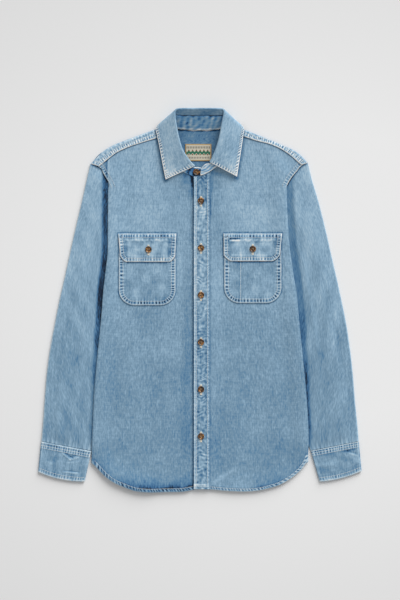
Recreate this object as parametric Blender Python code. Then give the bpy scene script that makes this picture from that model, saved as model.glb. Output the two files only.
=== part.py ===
"""Denim work shirt, buttoned and laid out face up on a flat surface.

Every piece is a cloth wall: its middle surface is worked out as a grid of points, then
thickened to both sides. Tables and sizes are millimetres; the meshes are metres.
x runs to the wearer's left, y towards the collar, z up from the surface it lies on.
`side` is -1 for the wearer's right and 1 for the left, and `out` is the distance from the
centre front along that side.
"""

import math

import bmesh
import bpy
import numpy as np

MM = 0.001

# Cloth and seams
CLOTH = 1.2
DOUBLED = 1.5
COLLAR_CLOTH = 1.8
CUFF_CLOTH = 1.6
SEAM = 0.3
HIDDEN_SEAM = 0.9
FLOOR = CLOTH / 2

# Fronts: a panel on top, which rises to a crest beside the side fold and turns under it
FRONT_Z = 3.8
CREST_Z = 7.2
CREST_INSET = 7.0
CREST_WIDTH = 40.0
CREST_AT_HEM = 0.5
CREST_AT_YOKE = 0.25
CREST_FADE = 60.0
YOKE_FADE = 50.0
HOOK_Z = 4.7
HOOK_HEM_Z = 2.4
HOOK_TUCK = 10.0
HOOK_BULGE = 2.0
HEM_RISE = 2.2
HEM_FADE = 45.0
HEM_BAND = 9.0
HEM_EXTRA = 0.8
HEM_CORNER = 7.0
HEM_CORNER_FADE = 30.0
NECK_CENTRE_Y = 322.0
NECK_RADIUS = 68.0
NECK_RISE = 2.6
NECK_FADE = 34.0
NECK_SHARE = 0.42
SHOULDER_Y = 240.0
SHOULDER_RISE = 60.0
ARMHOLE_OPENS = (15.0, 50.0)
HOOK_SHARES = (0.3, 0.7)
LINE_POINTS = 25
FRONT_LEVELS = (*np.linspace(0.06, 0.78, 11), 0.84, 0.885, 0.92, 0.95, 0.975, 1.0)
FRONT_ACROSS = (0.30, 0.36, 0.42, 0.50, 0.60, 0.70, 0.80, 0.88, 0.92, 0.96, 1.0)
BESIDE_STRIP = {-1: (0.165, 0.22), 1: (0.185, 0.24)}

# Back: a flat panel, whose side margins turn up to meet the fronts
MARGIN_WIDTH = 14.0
MARGIN_TURN = 13.0
MARGIN_FADE = 4.0
BACK_HEM_SHORT = 1.0
BACK_LEVELS = (*np.linspace(0.08, 0.94, 9), 0.97, 0.99)
BACK_SHARES = (0.35, 0.7, 0.9, 0.93, 0.95, 0.97, 1.0)

# Centre front: the wearer's left front lies on the right one
PLACKET_LEFT = -13.8
PLACKET_RIGHT = 19.7
UNDERLAP = 17.0
UNDER_Z = 2.4
UNDER_BLEND = (14.0, 12.0)
OVER_Z = 5.4
OVER_BLEND = (22.0, 26.0)

# Shoulders and yoke
SHOULDER_FOLD = 2.3
FRONT_SEAM_Z = 4.7
YOKE_SEAM_Z = FRONT_SEAM_Z + CLOTH + SEAM
YOKE_OVERLAP = 2.0
YOKE_SHARES = (0, 0.17, 0.36, 0.55, 0.74, 0.9, 1.0)
YOKE_ARM_POWER = 3
YOKE_ARM_FIT = 14.0

# Sleeves
OUTER_FOLD = 2.1
INNER_FOLD = 0.9
SLEEVE_PUFF = 1.5
PUFF_SLOPES = (4.0, 2.4, 5.0, 12.0)
PUFF_AT_CUFF = 0.1
FOLD_SLOPE = 6.0
SLEEVE_DOWNS = (0, 0.03, *np.linspace(0.08, 1, 13))
CUFF_FOLD = 1.9
CUFF_ROWS, CUFF_COLUMNS = 4, 8
TUCKED_Z = 2.7
TUCK_GAP = 1.0
TUCK_WIDTH = 18.0
ARM_SHAPE_SHARE = 0.28
ARM_SEAM_SHARE = 0.06

# Buttons
BUTTON_PROFILE = ((0.0, 0.0), (5.2, 0.0), (6.8, 0.7), (7.0, 1.4), (6.4, 2.3), (5.4, 2.4), (4.4, 1.7),
                  (0.0, 1.6))
BUTTON_TOP_Y = 211.0
BUTTON_STEP = 100.2
BUTTON_X = 2.1
BUTTON_SIDES = 12
PLACKET_BUTTONS = 6
STAND_BUTTON = (-7.5, 272.2, 7.05)

# Side of the body, seen from above: y, then how far out the edge of each front lies
SIDE_Y = (-326, -298, -243, -185, -132, -89, -32, 17, 64, 102, 149, 202, 256, 303)
SIDE_EDGE = {
    -1: (230.9, 229.8, 227.5, 224.5, 219.8, 215.6, 210.0, 206.4, 200.9, 196.8, 196.4, 196.0, 195.1, 192.8),
    1: (230.2, 231.3, 229.4, 225.1, 220.0, 215.8, 210.2, 205.3, 197.9, 192.1, 188.3, 185.3, 184.0, 186.0),
}

# Hem of each front, from the centre front outwards: out, y
HEM = {
    -1: ((-20, -402), (13, -404.0), (36, -407.8), (74, -408.8), (112, -409.4), (139, -406.2),
         (165, -397.0), (182, -389.6), (199, -377.9), (216, -361.2), (229, -346.8)),
    1: ((-15, -402.4), (20, -403.2), (65, -406.9), (104, -407.6), (129, -404.8), (150, -399.8),
        (171.5, -392.7), (188.5, -383.0), (205.5, -370.2), (222, -352.0), (230, -335.0)),
}

# Neck edge of each front, from the centre front up to the yoke seam: out, y
NECK = {
    -1: ((-UNDERLAP, 259.5), (3, 258.5), (18, 260.5), (37, 270.5), (55, 290), (65.5, 317),
         (70, 343), (70.3, 352.5)),
    1: ((PLACKET_LEFT, 258), (0, 260), (18, 267), (37, 280.5), (55, 295.5), (65.5, 319),
        (70, 343), (70.3, 354.0)),
}

# Front yoke seam, from the neck to the sleeve: out, y
YOKE_SEAM = {
    -1: ((70.3, 352.5), (95, 344.4), (123.3, 335.9), (158, 323.8), (179.8, 312.9), (192.8, 303.1),
         (214.5, 285.2)),
    1: ((70.3, 354.0), (95.2, 347.8), (119.1, 340.2), (151.7, 331.4), (173.4, 321.6), (186.6, 312.9),
        (216.0, 288.0)),
}

# Shoulder fold, from the neck to the sleeve: out, y
SHOULDER = {
    -1: ((63.9, 374.4), (95, 362.6), (123.3, 352.2), (158, 339.2), (184, 328.9), (201.5, 319.0),
         (219, 303.4), (231.2, 290.4)),
    1: ((63.9, 374.4), (94.1, 362.0), (140.8, 343.2), (173.4, 329.4), (201.7, 316.4), (217, 304.2),
        (227.4, 292.4)),
}

# Yoke inside the shoulder's neck point: share of the half neck, how far the cloth reaches past the fold
YOKE_NECK = ((0.0, -32.8), (0.25, -30.0), (0.44, -23.7), (0.75, -12.3), (0.90, -5.6), (0.96, 1.6),
             (0.985, 11.6))
NECK_FOLD_RISE = 18.0

# Armhole seam, from the shoulder point down to the underarm: out, y, height of the sleeve there
ARMHOLE = {
    -1: ((232.0, 289.0, 4.8), (216.6, 283.7, 3.2), (205.8, 269.4, 2.9), (198.3, 257.0, 2.7), (190, 240, 2.5),
         (187, 200, 2.4), (187, 140, 2.4), (187.4, 95.9, 2.4)),
    1: ((228.0, 291.0, 4.8), (217.9, 286.5, 3.2), (206, 273.9, 2.9), (195.1, 260.7, 2.7), (186, 245.6, 2.5),
        (178, 215, 2.5), (176, 170, 2.4), (180, 125, 2.4), (184.2, 95.9, 2.4)),
}
UNDERARM_Y = 95.9

# Where the armhole's cloths are sewn together: shares of its height, down from the shoulder point
ARM_SHARES = (0, 0.015, 0.04, 0.09, 0.14, 0.20, 0.285, 0.38, 0.49, 0.62, 0.75, 0.875, 1)
YOKE_ARM_SHARE = 0.285

# Sleeve, from the shoulder to the cuff seam: y and out of the outer fold, y and out of the inner fold
SLEEVE = {
    -1: ((291.0, 232.5, 95.0, 187.2), (255.6, 240.6, 79, 189), (213, 250.0, 60, 191.5),
         (159.8, 262.6, 18, 196.5), (106.5, 274.7, -18, 199.6), (53.3, 286.3, -56, 203.5),
         (0, 298.4, -95, 207.5), (-53.3, 309, -135, 211), (-106.5, 318.8, -175, 214.6),
         (-159.8, 325.8, -215, 218), (-213, 330.2, -256, 221.5), (-266.3, 334, -298, 226.5),
         (-300.9, 337.0, -321.4, 231.8)),
    1: ((293.0, 228.5, 95.0, 184.0), (255.6, 237.5, 79, 187), (213, 250.3, 60, 189.5),
        (159.8, 264.1, 18, 196.5), (106.5, 276.3, -18, 200), (53.3, 288.6, -56, 203.6),
        (0, 300.3, -95, 207.5), (-53.3, 311, -135, 211.6),
        (-106.5, 318.9, -175, 215.4), (-159.8, 324.8, -215, 218.8), (-213, 329.1, -256, 222.5),
        (-266.3, 334.4, -298, 227.5), (-300.9, 337.2, -320.7, 236.0)),
}

# Long soft folds of the sleeves: share across from the outer fold, share down at start and end, width, height
SLEEVE_FOLDS = {
    -1: ((0.30, 0.10, 0.95, 0.16, 0.7), (0.58, 0.30, 1.05, 0.10, 0.4)),
    1: ((0.34, 0.08, 0.90, 0.16, 0.7), (0.62, 0.02, 0.60, 0.06, 0.5)),
}

# Broad folds of the fronts: out and y at one end, out and y at the other, width, height
FRONT_FOLDS = {
    -1: ((150, -60, 168, -330, 30, 0.7), (60, -120, 75, -390, 34, 0.5), (100, -150, 110, -330, 28, -0.6),
         (100, -414, 224, -356, 40, 3.0)),
    1: ((150, -70, 175, -320, 32, 0.7), (62, -200, 80, -395, 34, 0.6), (108, -120, 118, -320, 30, -0.6)),
}

# Cuffs: out and y of the seam's outer and inner ends, then of the lower edge's outer end, middle and
# inner end
CUFF = {
    -1: ((337.4, -301.3), (231.9, -321.8), (344.0, -366.6), (297.0, -381.6), (246.5, -386.8)),
    1: ((337.3, -301.3), (236.2, -321.1), (343.2, -365.0), (298.0, -380.2), (255.6, -386.8)),
}

# Chest pockets: out of the near and far sides, y of the flap's top, the flap's bottom and the bag's bottom,
# and where the flap's button sits
POCKET = {
    -1: (52.0, 172.7, 141.4, 81.0, -11.5, 109.6, 107.5),
    1: (51.4, 173.2, 141.4, 82.4, -6.8, 112.2, 108.6),
}
POCKET_CORNER = 33.0
FLAP_OVERHANG = 1.5
BAG_TOP_SHORT = 12.0
FLAP_RISE = 9.0
FLAP_CORNER_POWER = 1.9
POCKET_LIFT = 0.15
# width and height of a flap's round corners, and how far its near and far sides lean in at them
FLAP_CORNER = {-1: (13.0, 12.5), 1: (18.0, 12.5)}
FLAP_TAPER = {-1: (2.2, 4.4), 1: (0.6, 5.0)}
POCKET_ACROSS = (-1, -0.96, -0.87, -0.72, -0.45, 0, 0.45, 0.72, 0.87, 0.96, 1)
BAG_ROWS = 7
FLAP_ROWS = (0, 0.2, 0.4, 0.6, 0.75, 0.87, 1)

# Collar, from the wearer's right end round the back to the left end: x, y, z of the stand's base,
# of the roll line (the stand's top where there is no leaf) and of the leaf's free edge
COLLAR_UNDER_END = (
    ((9.0, 263.0, 3.6), (7.5, 279.0, 4.2)),
    ((-4.0, 262.4, 3.8), (-2.0, 282.6, 5.2)),
)
COLLAR = (
    ((-18.0, 264.5, 4.4), (-10.9, 285.6, 9.0), (-73.3, 256.0, 8.4)),
    ((-36.0, 273.6, 6.6), (-22.0, 296.5, 13.0), (-75.8, 268.0, 8.8)),
    ((-52.5, 292.0, 8.4), (-36.5, 318.5, 18.0), (-80.4, 292.0, 9.9)),
    ((-62.5, 318.0, 8.6), (-45.5, 347.0, 20.5), (-86.4, 325.0, 9.9)),
    ((-66.5, 345.0, 8.6), (-51.0, 377.0, 22.0), (-91.6, 350.0, 9.9)),
    ((-66.3, 364.0, 8.2), (-53.0, 396.0, 22.5), (-93.9, 364.5, 8.6)),
    ((-60.0, 368.6, 5.7), (-50.5, 403.5, 22.5), (-83.5, 376.5, 6.0)),
    ((-48.0, 364.2, 3.3), (-43.0, 406.0, 22.0), (-66.5, 383.0, 2.4)),
    ((-28.0, 362.4, 2.0), (-26.0, 406.5, 21.6), (-38.0, 383.0, 1.0)),
    ((0.0, 361.2, 1.8), (0.0, 406.5, 21.6), (0.0, 383.0, 1.0)),
    ((28.0, 362.4, 2.0), (26.0, 406.5, 21.6), (38.0, 383.0, 1.0)),
    ((48.0, 364.2, 3.3), (43.5, 406.0, 22.0), (64.5, 383.0, 2.4)),
    ((60.0, 368.6, 5.7), (49.5, 403.5, 22.5), (80.5, 377.0, 6.0)),
    ((66.3, 364.0, 8.2), (50.5, 396.0, 22.5), (93.7, 364.5, 8.6)),
    ((66.5, 345.0, 8.8), (46.8, 377.0, 22.0), (92.0, 350.0, 9.9)),
    ((62.5, 318.0, 9.2), (41.0, 345.0, 20.5), (88.6, 325.0, 10.0)),
    ((52.5, 297.0, 8.6), (33.0, 319.0, 18.2), (83.6, 294.0, 10.0)),
    ((37.5, 284.5, 7.9), (25.5, 302.0, 16.0), (80.3, 272.0, 9.8)),
    ((23.5, 275.0, 8.4), (20.4, 293.1, 14.2), (78.8, 262.0, 9.4)),
)
COLLAR_OVER_END = (
    ((11.5, 268.0, 9.2), (11.3, 288.6, 12.6)),
    ((4.0, 265.2, 9.3), (4.4, 282.0, 11.4)),
    ((0.7, 264.6, 9.4), (1.2, 273.0, 10.6)),
)
STAND_SHARE = 0.70
STAND_END_SHARE = 0.93
ROLL_RADIUS = 1.5
ROWS_BETWEEN = 2

# Woven label inside the neck
LABEL_X, LABEL_Y = -3.7, 314.0
LABEL_WIDE, LABEL_HIGH, LABEL_THICK = 56.0, 36.4, 1.0

COLOURS = {
    "denim": ((0.235, 0.375, 0.520), 0.85),
    "button": ((0.070, 0.035, 0.015), 0.35),
    "label": ((0.620, 0.540, 0.400), 0.80),
}


def step(value):
    """Smooth rise from 0 to 1."""
    t = np.clip(value, 0.0, 1.0)
    return t * t * (3 - 2 * t)


def mix(a, b, t):
    return a + (b - a) * t


def unit(vector):
    return vector / np.maximum(np.linalg.norm(vector, axis=-1, keepdims=True), 1e-9)


def through(keys, rows, at):
    """Smooth curve through the rows, read at the keys' values `at`."""
    keys, rows = np.asarray(keys, float), np.asarray(rows, float)
    at = np.clip(np.asarray(at, float), keys[0], keys[-1])
    slope = np.gradient(rows, keys, axis=0)
    k = np.clip(np.searchsorted(keys, at) - 1, 0, len(keys) - 2)
    span = keys[k + 1] - keys[k]
    t = (at - keys[k]) / span
    if rows.ndim > 1:
        t, span = t[..., None], span[..., None]
    rise = t * t * (3 - 2 * t)
    start, end = t * (1 - t) ** 2, t * t * (t - 1)
    return (1 - rise) * rows[k] + rise * rows[k + 1] + span * (start * slope[k] + end * slope[k + 1])


def reach_of(points):
    """How far along a line each of its points lies, as a share of its length."""
    reach = np.concatenate([[0], np.cumsum(np.linalg.norm(np.diff(points, axis=0), axis=1))])
    return reach / reach[-1]


def along(points, share):
    """Smooth curve through the points, read at shares of its length."""
    points = np.asarray(points, float)
    return through(reach_of(points), points, share)


def ridge(x, y, fold):
    """Height of one long soft fold given by its two ends, width and height."""
    x0, y0, x1, y1, width, height = fold
    dx, dy = x1 - x0, y1 - y0
    t = ((x - x0) * dx + (y - y0) * dy) / (dx * dx + dy * dy)
    off = np.hypot(x - x0 - t * dx, y - y0 - t * dy) / width
    ends = step(t * 4 + 0.5) * step((1 - t) * 4 + 0.5)
    return height * np.exp(-2 * off * off) * ends


def edge_out(side, y):
    return through(SIDE_Y, SIDE_EDGE[side], y)


def hem_y(side, out):
    hem = np.array(HEM[side])
    return through(hem[:, 0], hem[:, 1], out)


def seam_y(side, out):
    seam = np.array(YOKE_SEAM[side])
    return through(seam[:, 0], seam[:, 1], out)


def armhole(side, y):
    """How far out the armhole seam lies at y, and the height of the sleeve there."""
    arm = np.array(ARMHOLE[side])[::-1]
    return through(arm[:, 1], arm[:, [0, 2]], y)


def arm_y(side, share):
    """y of the armhole seam at a share of its height, down from the shoulder point."""
    return mix(ARMHOLE[side][0][1], UNDERARM_Y, np.asarray(share, float))


def hook_z(side, y):
    """Height of the fronts' turned edge and of the back's margin, which meet at the side seam."""
    return mix(HOOK_HEM_Z, HOOK_Z, step((y - HEM[side][-1][1] - 4) / 34))


def front_z(side, out, y):
    """Height of a front's middle surface."""
    z = np.full(np.shape(out), FRONT_Z)
    for fold in FRONT_FOLDS[side]:
        z = z + ridge(out, y, fold)
    above_hem = y - hem_y(side, out)
    crest = step((out - edge_out(side, y) + CREST_INSET + CREST_WIDTH) / CREST_WIDTH)
    below_yoke = step((seam_y(side, out) - y) / YOKE_FADE)
    grown = mix(CREST_AT_HEM, 1, step(above_hem / CREST_FADE)) * mix(CREST_AT_YOKE, 1, below_yoke)
    z = mix(z, CREST_Z, crest * grown)
    z = z + HEM_RISE * (1 - step(above_hem / HEM_FADE)) * (1 - crest)
    z = mix(FRONT_SEAM_Z, z, below_yoke)
    from_neck = np.hypot(out, y - NECK_CENTRE_Y) - NECK_RADIUS
    from_strip = step((out - sum(OVER_BLEND) / 2) / NECK_FADE)
    z = z + NECK_RISE * (1 - step(from_neck / NECK_FADE)) * from_strip * below_yoke
    low_z, blend = (UNDER_Z, UNDER_BLEND) if side < 0 else (OVER_Z, OVER_BLEND)
    return mix(low_z, z, step((out - blend[0]) / blend[1]))


def band_edges(side):
    """Out of the front's edge, and of the inner edge of the strip along it."""
    return (-UNDERLAP, -PLACKET_LEFT) if side < 0 else (PLACKET_LEFT, PLACKET_RIGHT)


def front_plan(side, level, across):
    """Plan of a front's top: level 0 is the hem and 1 the neck and yoke seam; across 0 is the centre
    front and 1 the crest beside the side fold. The strip along the centre front stays straight."""
    first, inner = band_edges(side)
    low_y, seam_end = HEM[side][-1][1], YOKE_SEAM[side][-2]
    width = edge_out(side, low_y) - CREST_INSET - first
    band = (inner - first) / width
    neck = along(NECK[side], np.linspace(0, 1, LINE_POINTS))
    line = np.concatenate([neck, along(YOKE_SEAM[side][:-1], np.linspace(0, 1, LINE_POINTS))[1:]])
    reach = reach_of(line)
    at_band = np.interp(inner, neck[:, 0], reach[:LINE_POINTS])
    share = np.interp(across, (0, band, NECK_SHARE, 1), (0, at_band, reach[LINE_POINTS - 1], 1))
    top = np.stack([np.interp(share, reach, line[:, k]) for k in (0, 1)], -1)
    low_out = first + across * width
    low = np.stack([low_out, hem_y(side, low_out)], -1)
    middle = np.stack([np.full_like(level, first), mix(hem_y(side, first), neck[0, 1], level)], -1)
    crest_y = mix(low_y, seam_end[1], level)
    shoulder = step((crest_y - SHOULDER_Y) / SHOULDER_RISE)
    crest_out = mix(edge_out(side, crest_y) - CREST_INSET, seam_end[0], shoulder)
    crest = np.stack([crest_out, crest_y], -1)
    level, pull = level[..., None], (np.maximum(across - band, 0) / (1 - band))[..., None]
    corner_low = mix(np.array([first, hem_y(side, first)]), np.array([first + width, low_y]), pull)
    corner_top = mix(neck[0], np.array(seam_end), pull)
    return mix(low, top, level) + mix(middle, crest, pull) - mix(corner_low, corner_top, level)


def front_grid(side, levels, acrosses, hooks):
    """Middle surface of one front: its top, then the turn over the side fold to the seam under it."""
    level, across = np.meshgrid(levels, acrosses, indexing="ij")
    plan = front_plan(side, level, across)
    top = np.dstack([plan, front_z(side, plan[..., 0], plan[..., 1])])
    crest = top[:, -1]
    drop = YOKE_SEAM[side][-2][1] - ARMHOLE[side][1][1]
    end_y = crest[:, 1] - drop * step((crest[:, 1] - SHOULDER_Y) / SHOULDER_RISE)
    arm_out, arm_z = armhole(side, end_y).T
    sewn_in = end_y > UNDERARM_Y
    end_out = np.where(sewn_in, arm_out, edge_out(side, end_y) - HOOK_TUCK)
    end_z = np.where(sewn_in, np.maximum(HOOK_Z, arm_z + CLOTH + SEAM), hook_z(side, end_y))
    open_top = step((end_y - SHOULDER_Y + ARMHOLE_OPENS[0]) / ARMHOLE_OPENS[1])
    turn = edge_out(side, end_y) + HOOK_BULGE
    end = np.stack([end_out, end_y, end_z], -1)
    round_up = HEM_CORNER * (1 - step((crest[:, 1] - HEM[side][-1][1]) / HEM_CORNER_FADE))
    controls = []
    for share, closed_z in zip(HOOK_SHARES, (crest[:, 2], end_z)):
        out, y, z = mix(crest, end, share).T
        controls.append(np.stack([mix(turn, out, open_top), y + round_up, mix(closed_z, z, open_top)], -1))
    over, under = controls
    t = np.asarray(hooks)[None, :, None]
    hook = ((1 - t) ** 3 * crest[:, None] + 3 * t * (1 - t) ** 2 * over[:, None]
            + 3 * t * t * (1 - t) * under[:, None] + t ** 3 * end[:, None])
    grid = np.concatenate([top, hook], 1)
    grid[..., 0] *= side
    return grid


def back_grid(levels, shares):
    """Middle surface of the back: flat, its side margins turned up to meet the fronts' seams.
    Levels above 1 are shares of the armhole, down from the shoulder point, plus 1."""
    rows = []
    for level in levels:
        row = []
        for share in shares:
            side = 1 if share > 0 else -1
            low_y = HEM[side][-1][1]
            if level > 1:
                y = float(arm_y(side, level - 1))
                half = armhole(side, y)[0] - HIDDEN_SEAM
            else:
                y = mix(low_y, UNDERARM_Y, level)
                half = edge_out(side, y) - HOOK_TUCK - HIDDEN_SEAM
            out = abs(share) * half
            y_here = y + (hem_y(side, out) + BACK_HEM_SHORT - low_y) * (1 - min(level, 1)) ** 2
            rise = step((UNDERARM_Y - y) / MARGIN_FADE) * step((out - half + MARGIN_WIDTH) / MARGIN_TURN)
            row.append((side * out, y_here, mix(FLOOR, hook_z(side, y), rise)))
        rows.append(row)
    rows = np.array(rows)
    rows[-1, :, 1] -= SEAM
    return rows


def yoke_path(side, share, inside, rows):
    """One line of the yoke's cloth, from the back yoke seam over the shoulder fold to its front edge.
    share runs along the shoulder; inside the neck point, `inside` is the share of the half neck.
    Rows 0 to 1 lie on the surface, 1 to 2 go round the fold and 2 to 3 lie on the front."""
    fold = along(SHOULDER[side], share)
    seam = along(YOKE_SEAM[side], share) - np.array([0, YOKE_OVERLAP])
    back_y = float(arm_y(side, YOKE_ARM_SHARE))
    neck_out = SHOULDER[side][0][0]
    back_out = mix(neck_out, armhole(side, back_y)[0] - HIDDEN_SEAM, share)
    if inside < 1:
        drop = seam - fold
        fold = np.array([neck_out * inside, fold[1] + NECK_FOLD_RISE * (1 - inside)])
        seam = fold + drop
        back_out = neck_out * inside
    start = np.array([back_out, back_y])
    ahead = unit(fold - start)
    turn = fold - ahead * SHOULDER_FOLD
    arc = math.pi * SHOULDER_FOLD / 2
    flat = np.linalg.norm(turn - start)
    rest = np.linalg.norm(seam - turn)
    whole = flat + 2 * arc + rest
    used = whole if inside == 1 else flat + arc + np.interp(inside, *np.array(YOKE_NECK).T)
    points = []
    for row in rows:
        gone = np.interp(row, (0, 1, 2, 3), (0, flat, flat + 2 * arc, whole)) * used / whole
        if gone < flat:
            place = start + ahead * gone
            bend = armhole(side, place[1])[0] - HIDDEN_SEAM - mix(back_out, fold[0], gone / flat)
            place[0] += bend * share ** YOKE_ARM_POWER * step((1 - gone / flat) * YOKE_ARM_FIT)
            z = FLOOR
        elif gone < flat + 2 * arc:
            angle = (gone - flat - arc) / SHOULDER_FOLD
            place = turn + ahead * SHOULDER_FOLD * math.cos(angle)
            z = FLOOR + SHOULDER_FOLD * (1 + math.sin(angle))
        else:
            t = (gone - flat - 2 * arc) / rest
            place = mix(turn, seam, t)
            z = mix(FLOOR + 2 * SHOULDER_FOLD, YOKE_SEAM_Z, step(t))
        points.append((side * place[0], place[1], z))
    return points


def yoke_grid():
    lying = 1 - np.array(ARM_SHARES[6::-1]) / YOKE_ARM_SHARE
    rows = np.concatenate([lying[:-1], np.linspace(1, 2, 6), [2.3, 2.65, 3.0]])
    columns = []
    for side in (-1, 1):
        half = [yoke_path(side, 0.0, row[0], rows) for row in YOKE_NECK if side > 0 or row[0] > 0]
        half += [yoke_path(side, share, 1, rows) for share in YOKE_SHARES]
        columns = half[::-1] + columns if side < 0 else columns + half
    return np.array(columns).transpose(1, 0, 2)


def sleeve_grid(side, downs, acrosses, folds=4):
    """Middle surface of a sleeve: rings round the flattened tube, slanted at the shoulder."""
    table = np.array(SLEEVE[side])
    keys = np.linspace(0, 1, len(table))
    seam = armhole(side, arm_y(side, acrosses))
    arm = np.column_stack([seam[:, 0], arm_y(side, acrosses), seam[:, 1]])
    w = np.asarray(acrosses)
    straight = mix(arm[0], arm[-1], w[:, None])
    rings = []
    for down in downs:
        outer_y, outer_out, inner_y, inner_out = through(keys, table, down)
        outer, inner = np.array([outer_out, outer_y]), np.array([inner_out, inner_y])
        inward = unit(inner - outer)
        first, last = outer + inward * OUTER_FOLD, inner - inward * INNER_FOLD
        plan = mix(first, last, w[:, None]) + (arm - straight)[:, :2] * (1 - step(down / ARM_SHAPE_SHARE))
        z = FLOOR + 2 * mix(OUTER_FOLD, INNER_FOLD, w)
        puff = SLEEVE_PUFF * step(w * PUFF_SLOPES[0]) * step((1 - w) * PUFF_SLOPES[1])
        puff = puff * step(down * PUFF_SLOPES[2]) * step((1 - down) * PUFF_SLOPES[3] + PUFF_AT_CUFF)
        for place, start, end, width, height in SLEEVE_FOLDS[side]:
            shape = np.exp(-2 * ((w - place) / width) ** 2)
            shape = shape * step(w * FOLD_SLOPE) * step((1 - w) * FOLD_SLOPE)
            ends = step((down - start) * FOLD_SLOPE + 0.5) * step((end - down) * FOLD_SLOPE + 0.5)
            puff = puff + height * shape * ends
        z = z + puff
        clear = step((plan[:, 0] - edge_out(side, plan[:, 1]) - TUCK_GAP) / TUCK_WIDTH)
        z = mix(np.minimum(z, TUCKED_Z), z, clear)
        z = mix(arm[:, 2], z, step(down / ARM_SEAM_SHARE))
        z[0], z[-1] = FLOOR + 2 * OUTER_FOLD, FLOOR + 2 * INNER_FOLD
        upper = np.column_stack([plan, z])
        lower = np.column_stack([plan, np.full(len(w), FLOOR)])[::-1]
        angles = np.linspace(-math.pi / 2, math.pi / 2, folds)[1:-1]
        over = [np.append(first - inward * OUTER_FOLD * math.cos(a), FLOOR + OUTER_FOLD * (1 + math.sin(a)))
                for a in angles]
        under = [np.append(last + inward * INNER_FOLD * math.cos(a), FLOOR + INNER_FOLD * (1 + math.sin(a)))
                 for a in angles[::-1]]
        rings.append(np.concatenate([upper, under, lower, over]))
    grid = np.array(rings)
    grid[..., 0] *= side
    return grid


def cuff_grid(side, downs, acrosses, folds=4):
    """Middle surface of a cuff, a short flattened tube whose lower edge bows a little."""
    seam_outer, seam_inner, low_outer, low_middle, low_inner = (np.array(p) for p in CUFF[side])
    floor = CUFF_CLOTH / 2
    w = np.asarray(acrosses)
    rings = []
    for down in downs:
        outer, inner = mix(seam_outer, low_outer, down), mix(seam_inner, low_inner, down)
        inward = unit(inner - outer)
        first, last = outer + inward * CUFF_FOLD, inner - inward * CUFF_FOLD
        bow = (low_middle - mix(low_outer, low_inner, 0.5)) * down
        plan = mix(first, last, w[:, None]) + bow * (4 * w * (1 - w))[:, None]
        upper = np.column_stack([plan, np.full(len(w), floor + 2 * CUFF_FOLD)])
        lower = np.column_stack([plan, np.full(len(w), floor)])[::-1]
        angles = np.linspace(-math.pi / 2, math.pi / 2, folds)[1:-1]
        over = [np.append(first - inward * CUFF_FOLD * math.cos(a), floor + CUFF_FOLD * (1 + math.sin(a)))
                for a in angles]
        under = [np.append(last + inward * CUFF_FOLD * math.cos(a), floor + CUFF_FOLD * (1 + math.sin(a)))
                 for a in angles[::-1]]
        rings.append(np.concatenate([upper, under, lower, over]))
    grid = np.array(rings)
    grid[..., 0] *= side
    return grid


def stand_lines():
    """Base and top of the collar stand, right round, with the leaf's free edge where it has one."""
    ends = [COLLAR_UNDER_END, COLLAR_OVER_END]
    base = [row[0] for row in ends[0]] + [row[0] for row in COLLAR] + [row[0] for row in ends[1]]
    top = [row[1] for row in ends[0]] + [row[1] for row in COLLAR] + [row[1] for row in ends[1]]
    edge = [row[2] for row in COLLAR]
    return np.array(base), np.array(top), np.array(edge)


def between(rows, count=ROWS_BETWEEN):
    """Smooth curve through the rows, with `count` points to each step of the table."""
    keys = np.arange(len(rows))
    return through(keys, rows, np.linspace(0, len(rows) - 1, (len(rows) - 1) * count + 1))


def roll_of(base, roll, edge):
    """Middle of the collar's roll, and its directions: outward, and across from the stand to the leaf."""
    line = unit(np.gradient(roll, axis=0))
    rising, falling = base - roll, edge - roll
    rising = unit(rising - line * (rising * line).sum(1, keepdims=True))
    falling = unit(falling - line * (falling * line).sum(1, keepdims=True))
    outward, over = -unit(rising + falling), unit(falling - rising)
    middle = roll - outward * ROLL_RADIUS
    return middle, outward, over


def make_collar():
    base, top, edge = stand_lines()
    under, over = len(COLLAR_UNDER_END), len(COLLAR_OVER_END)
    leaf_base, roll = base[under:-over], top[under:-over]
    middle, outward, across = roll_of(leaf_base, roll, edge)
    enters = middle - across * ROLL_RADIUS
    steps_in = np.minimum(np.arange(len(COLLAR)), np.arange(len(COLLAR))[::-1])
    share = mix(STAND_END_SHARE, STAND_SHARE, step(steps_in / 3))[:, None]
    stand_top = top.copy()
    stand_top[under:-over] = mix(leaf_base, enters, share)
    shares = np.linspace(0, 1, 4)[None, :, None]
    stand_top, stand_base = between(stand_top), between(base)
    wall("collar_stand", mix(stand_base[:, None], stand_top[:, None], shares), COLLAR_CLOTH)
    start = mix(leaf_base, enters, share)
    start = start + unit(enters - leaf_base) * SEAM
    lines = [start, mix(start, enters, 0.5), enters]
    for angle in np.radians((-40, 0, 40)):
        lines.append(middle + ROLL_RADIUS * (outward * math.cos(angle) + across * math.sin(angle)))
    leaves = middle + across * ROLL_RADIUS
    lines += [mix(leaves, edge, share) for share in (0, 0.35, 0.7, 1)]
    leaf = np.array([between(line) for line in lines]).transpose(1, 0, 2)
    wall("collar_leaf", leaf, COLLAR_CLOTH)


def shirt_material(name):
    material = bpy.data.materials.get(name)
    if material is None:
        colour, rough = COLOURS[name]
        material = bpy.data.materials.new(name)
        material.use_nodes = True
        shader = material.node_tree.nodes["Principled BSDF"]
        shader.inputs["Base Color"].default_value = (*colour, 1)
        shader.inputs["Roughness"].default_value = rough
        shader.inputs["Metallic"].default_value = 0.0
    return material


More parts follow.
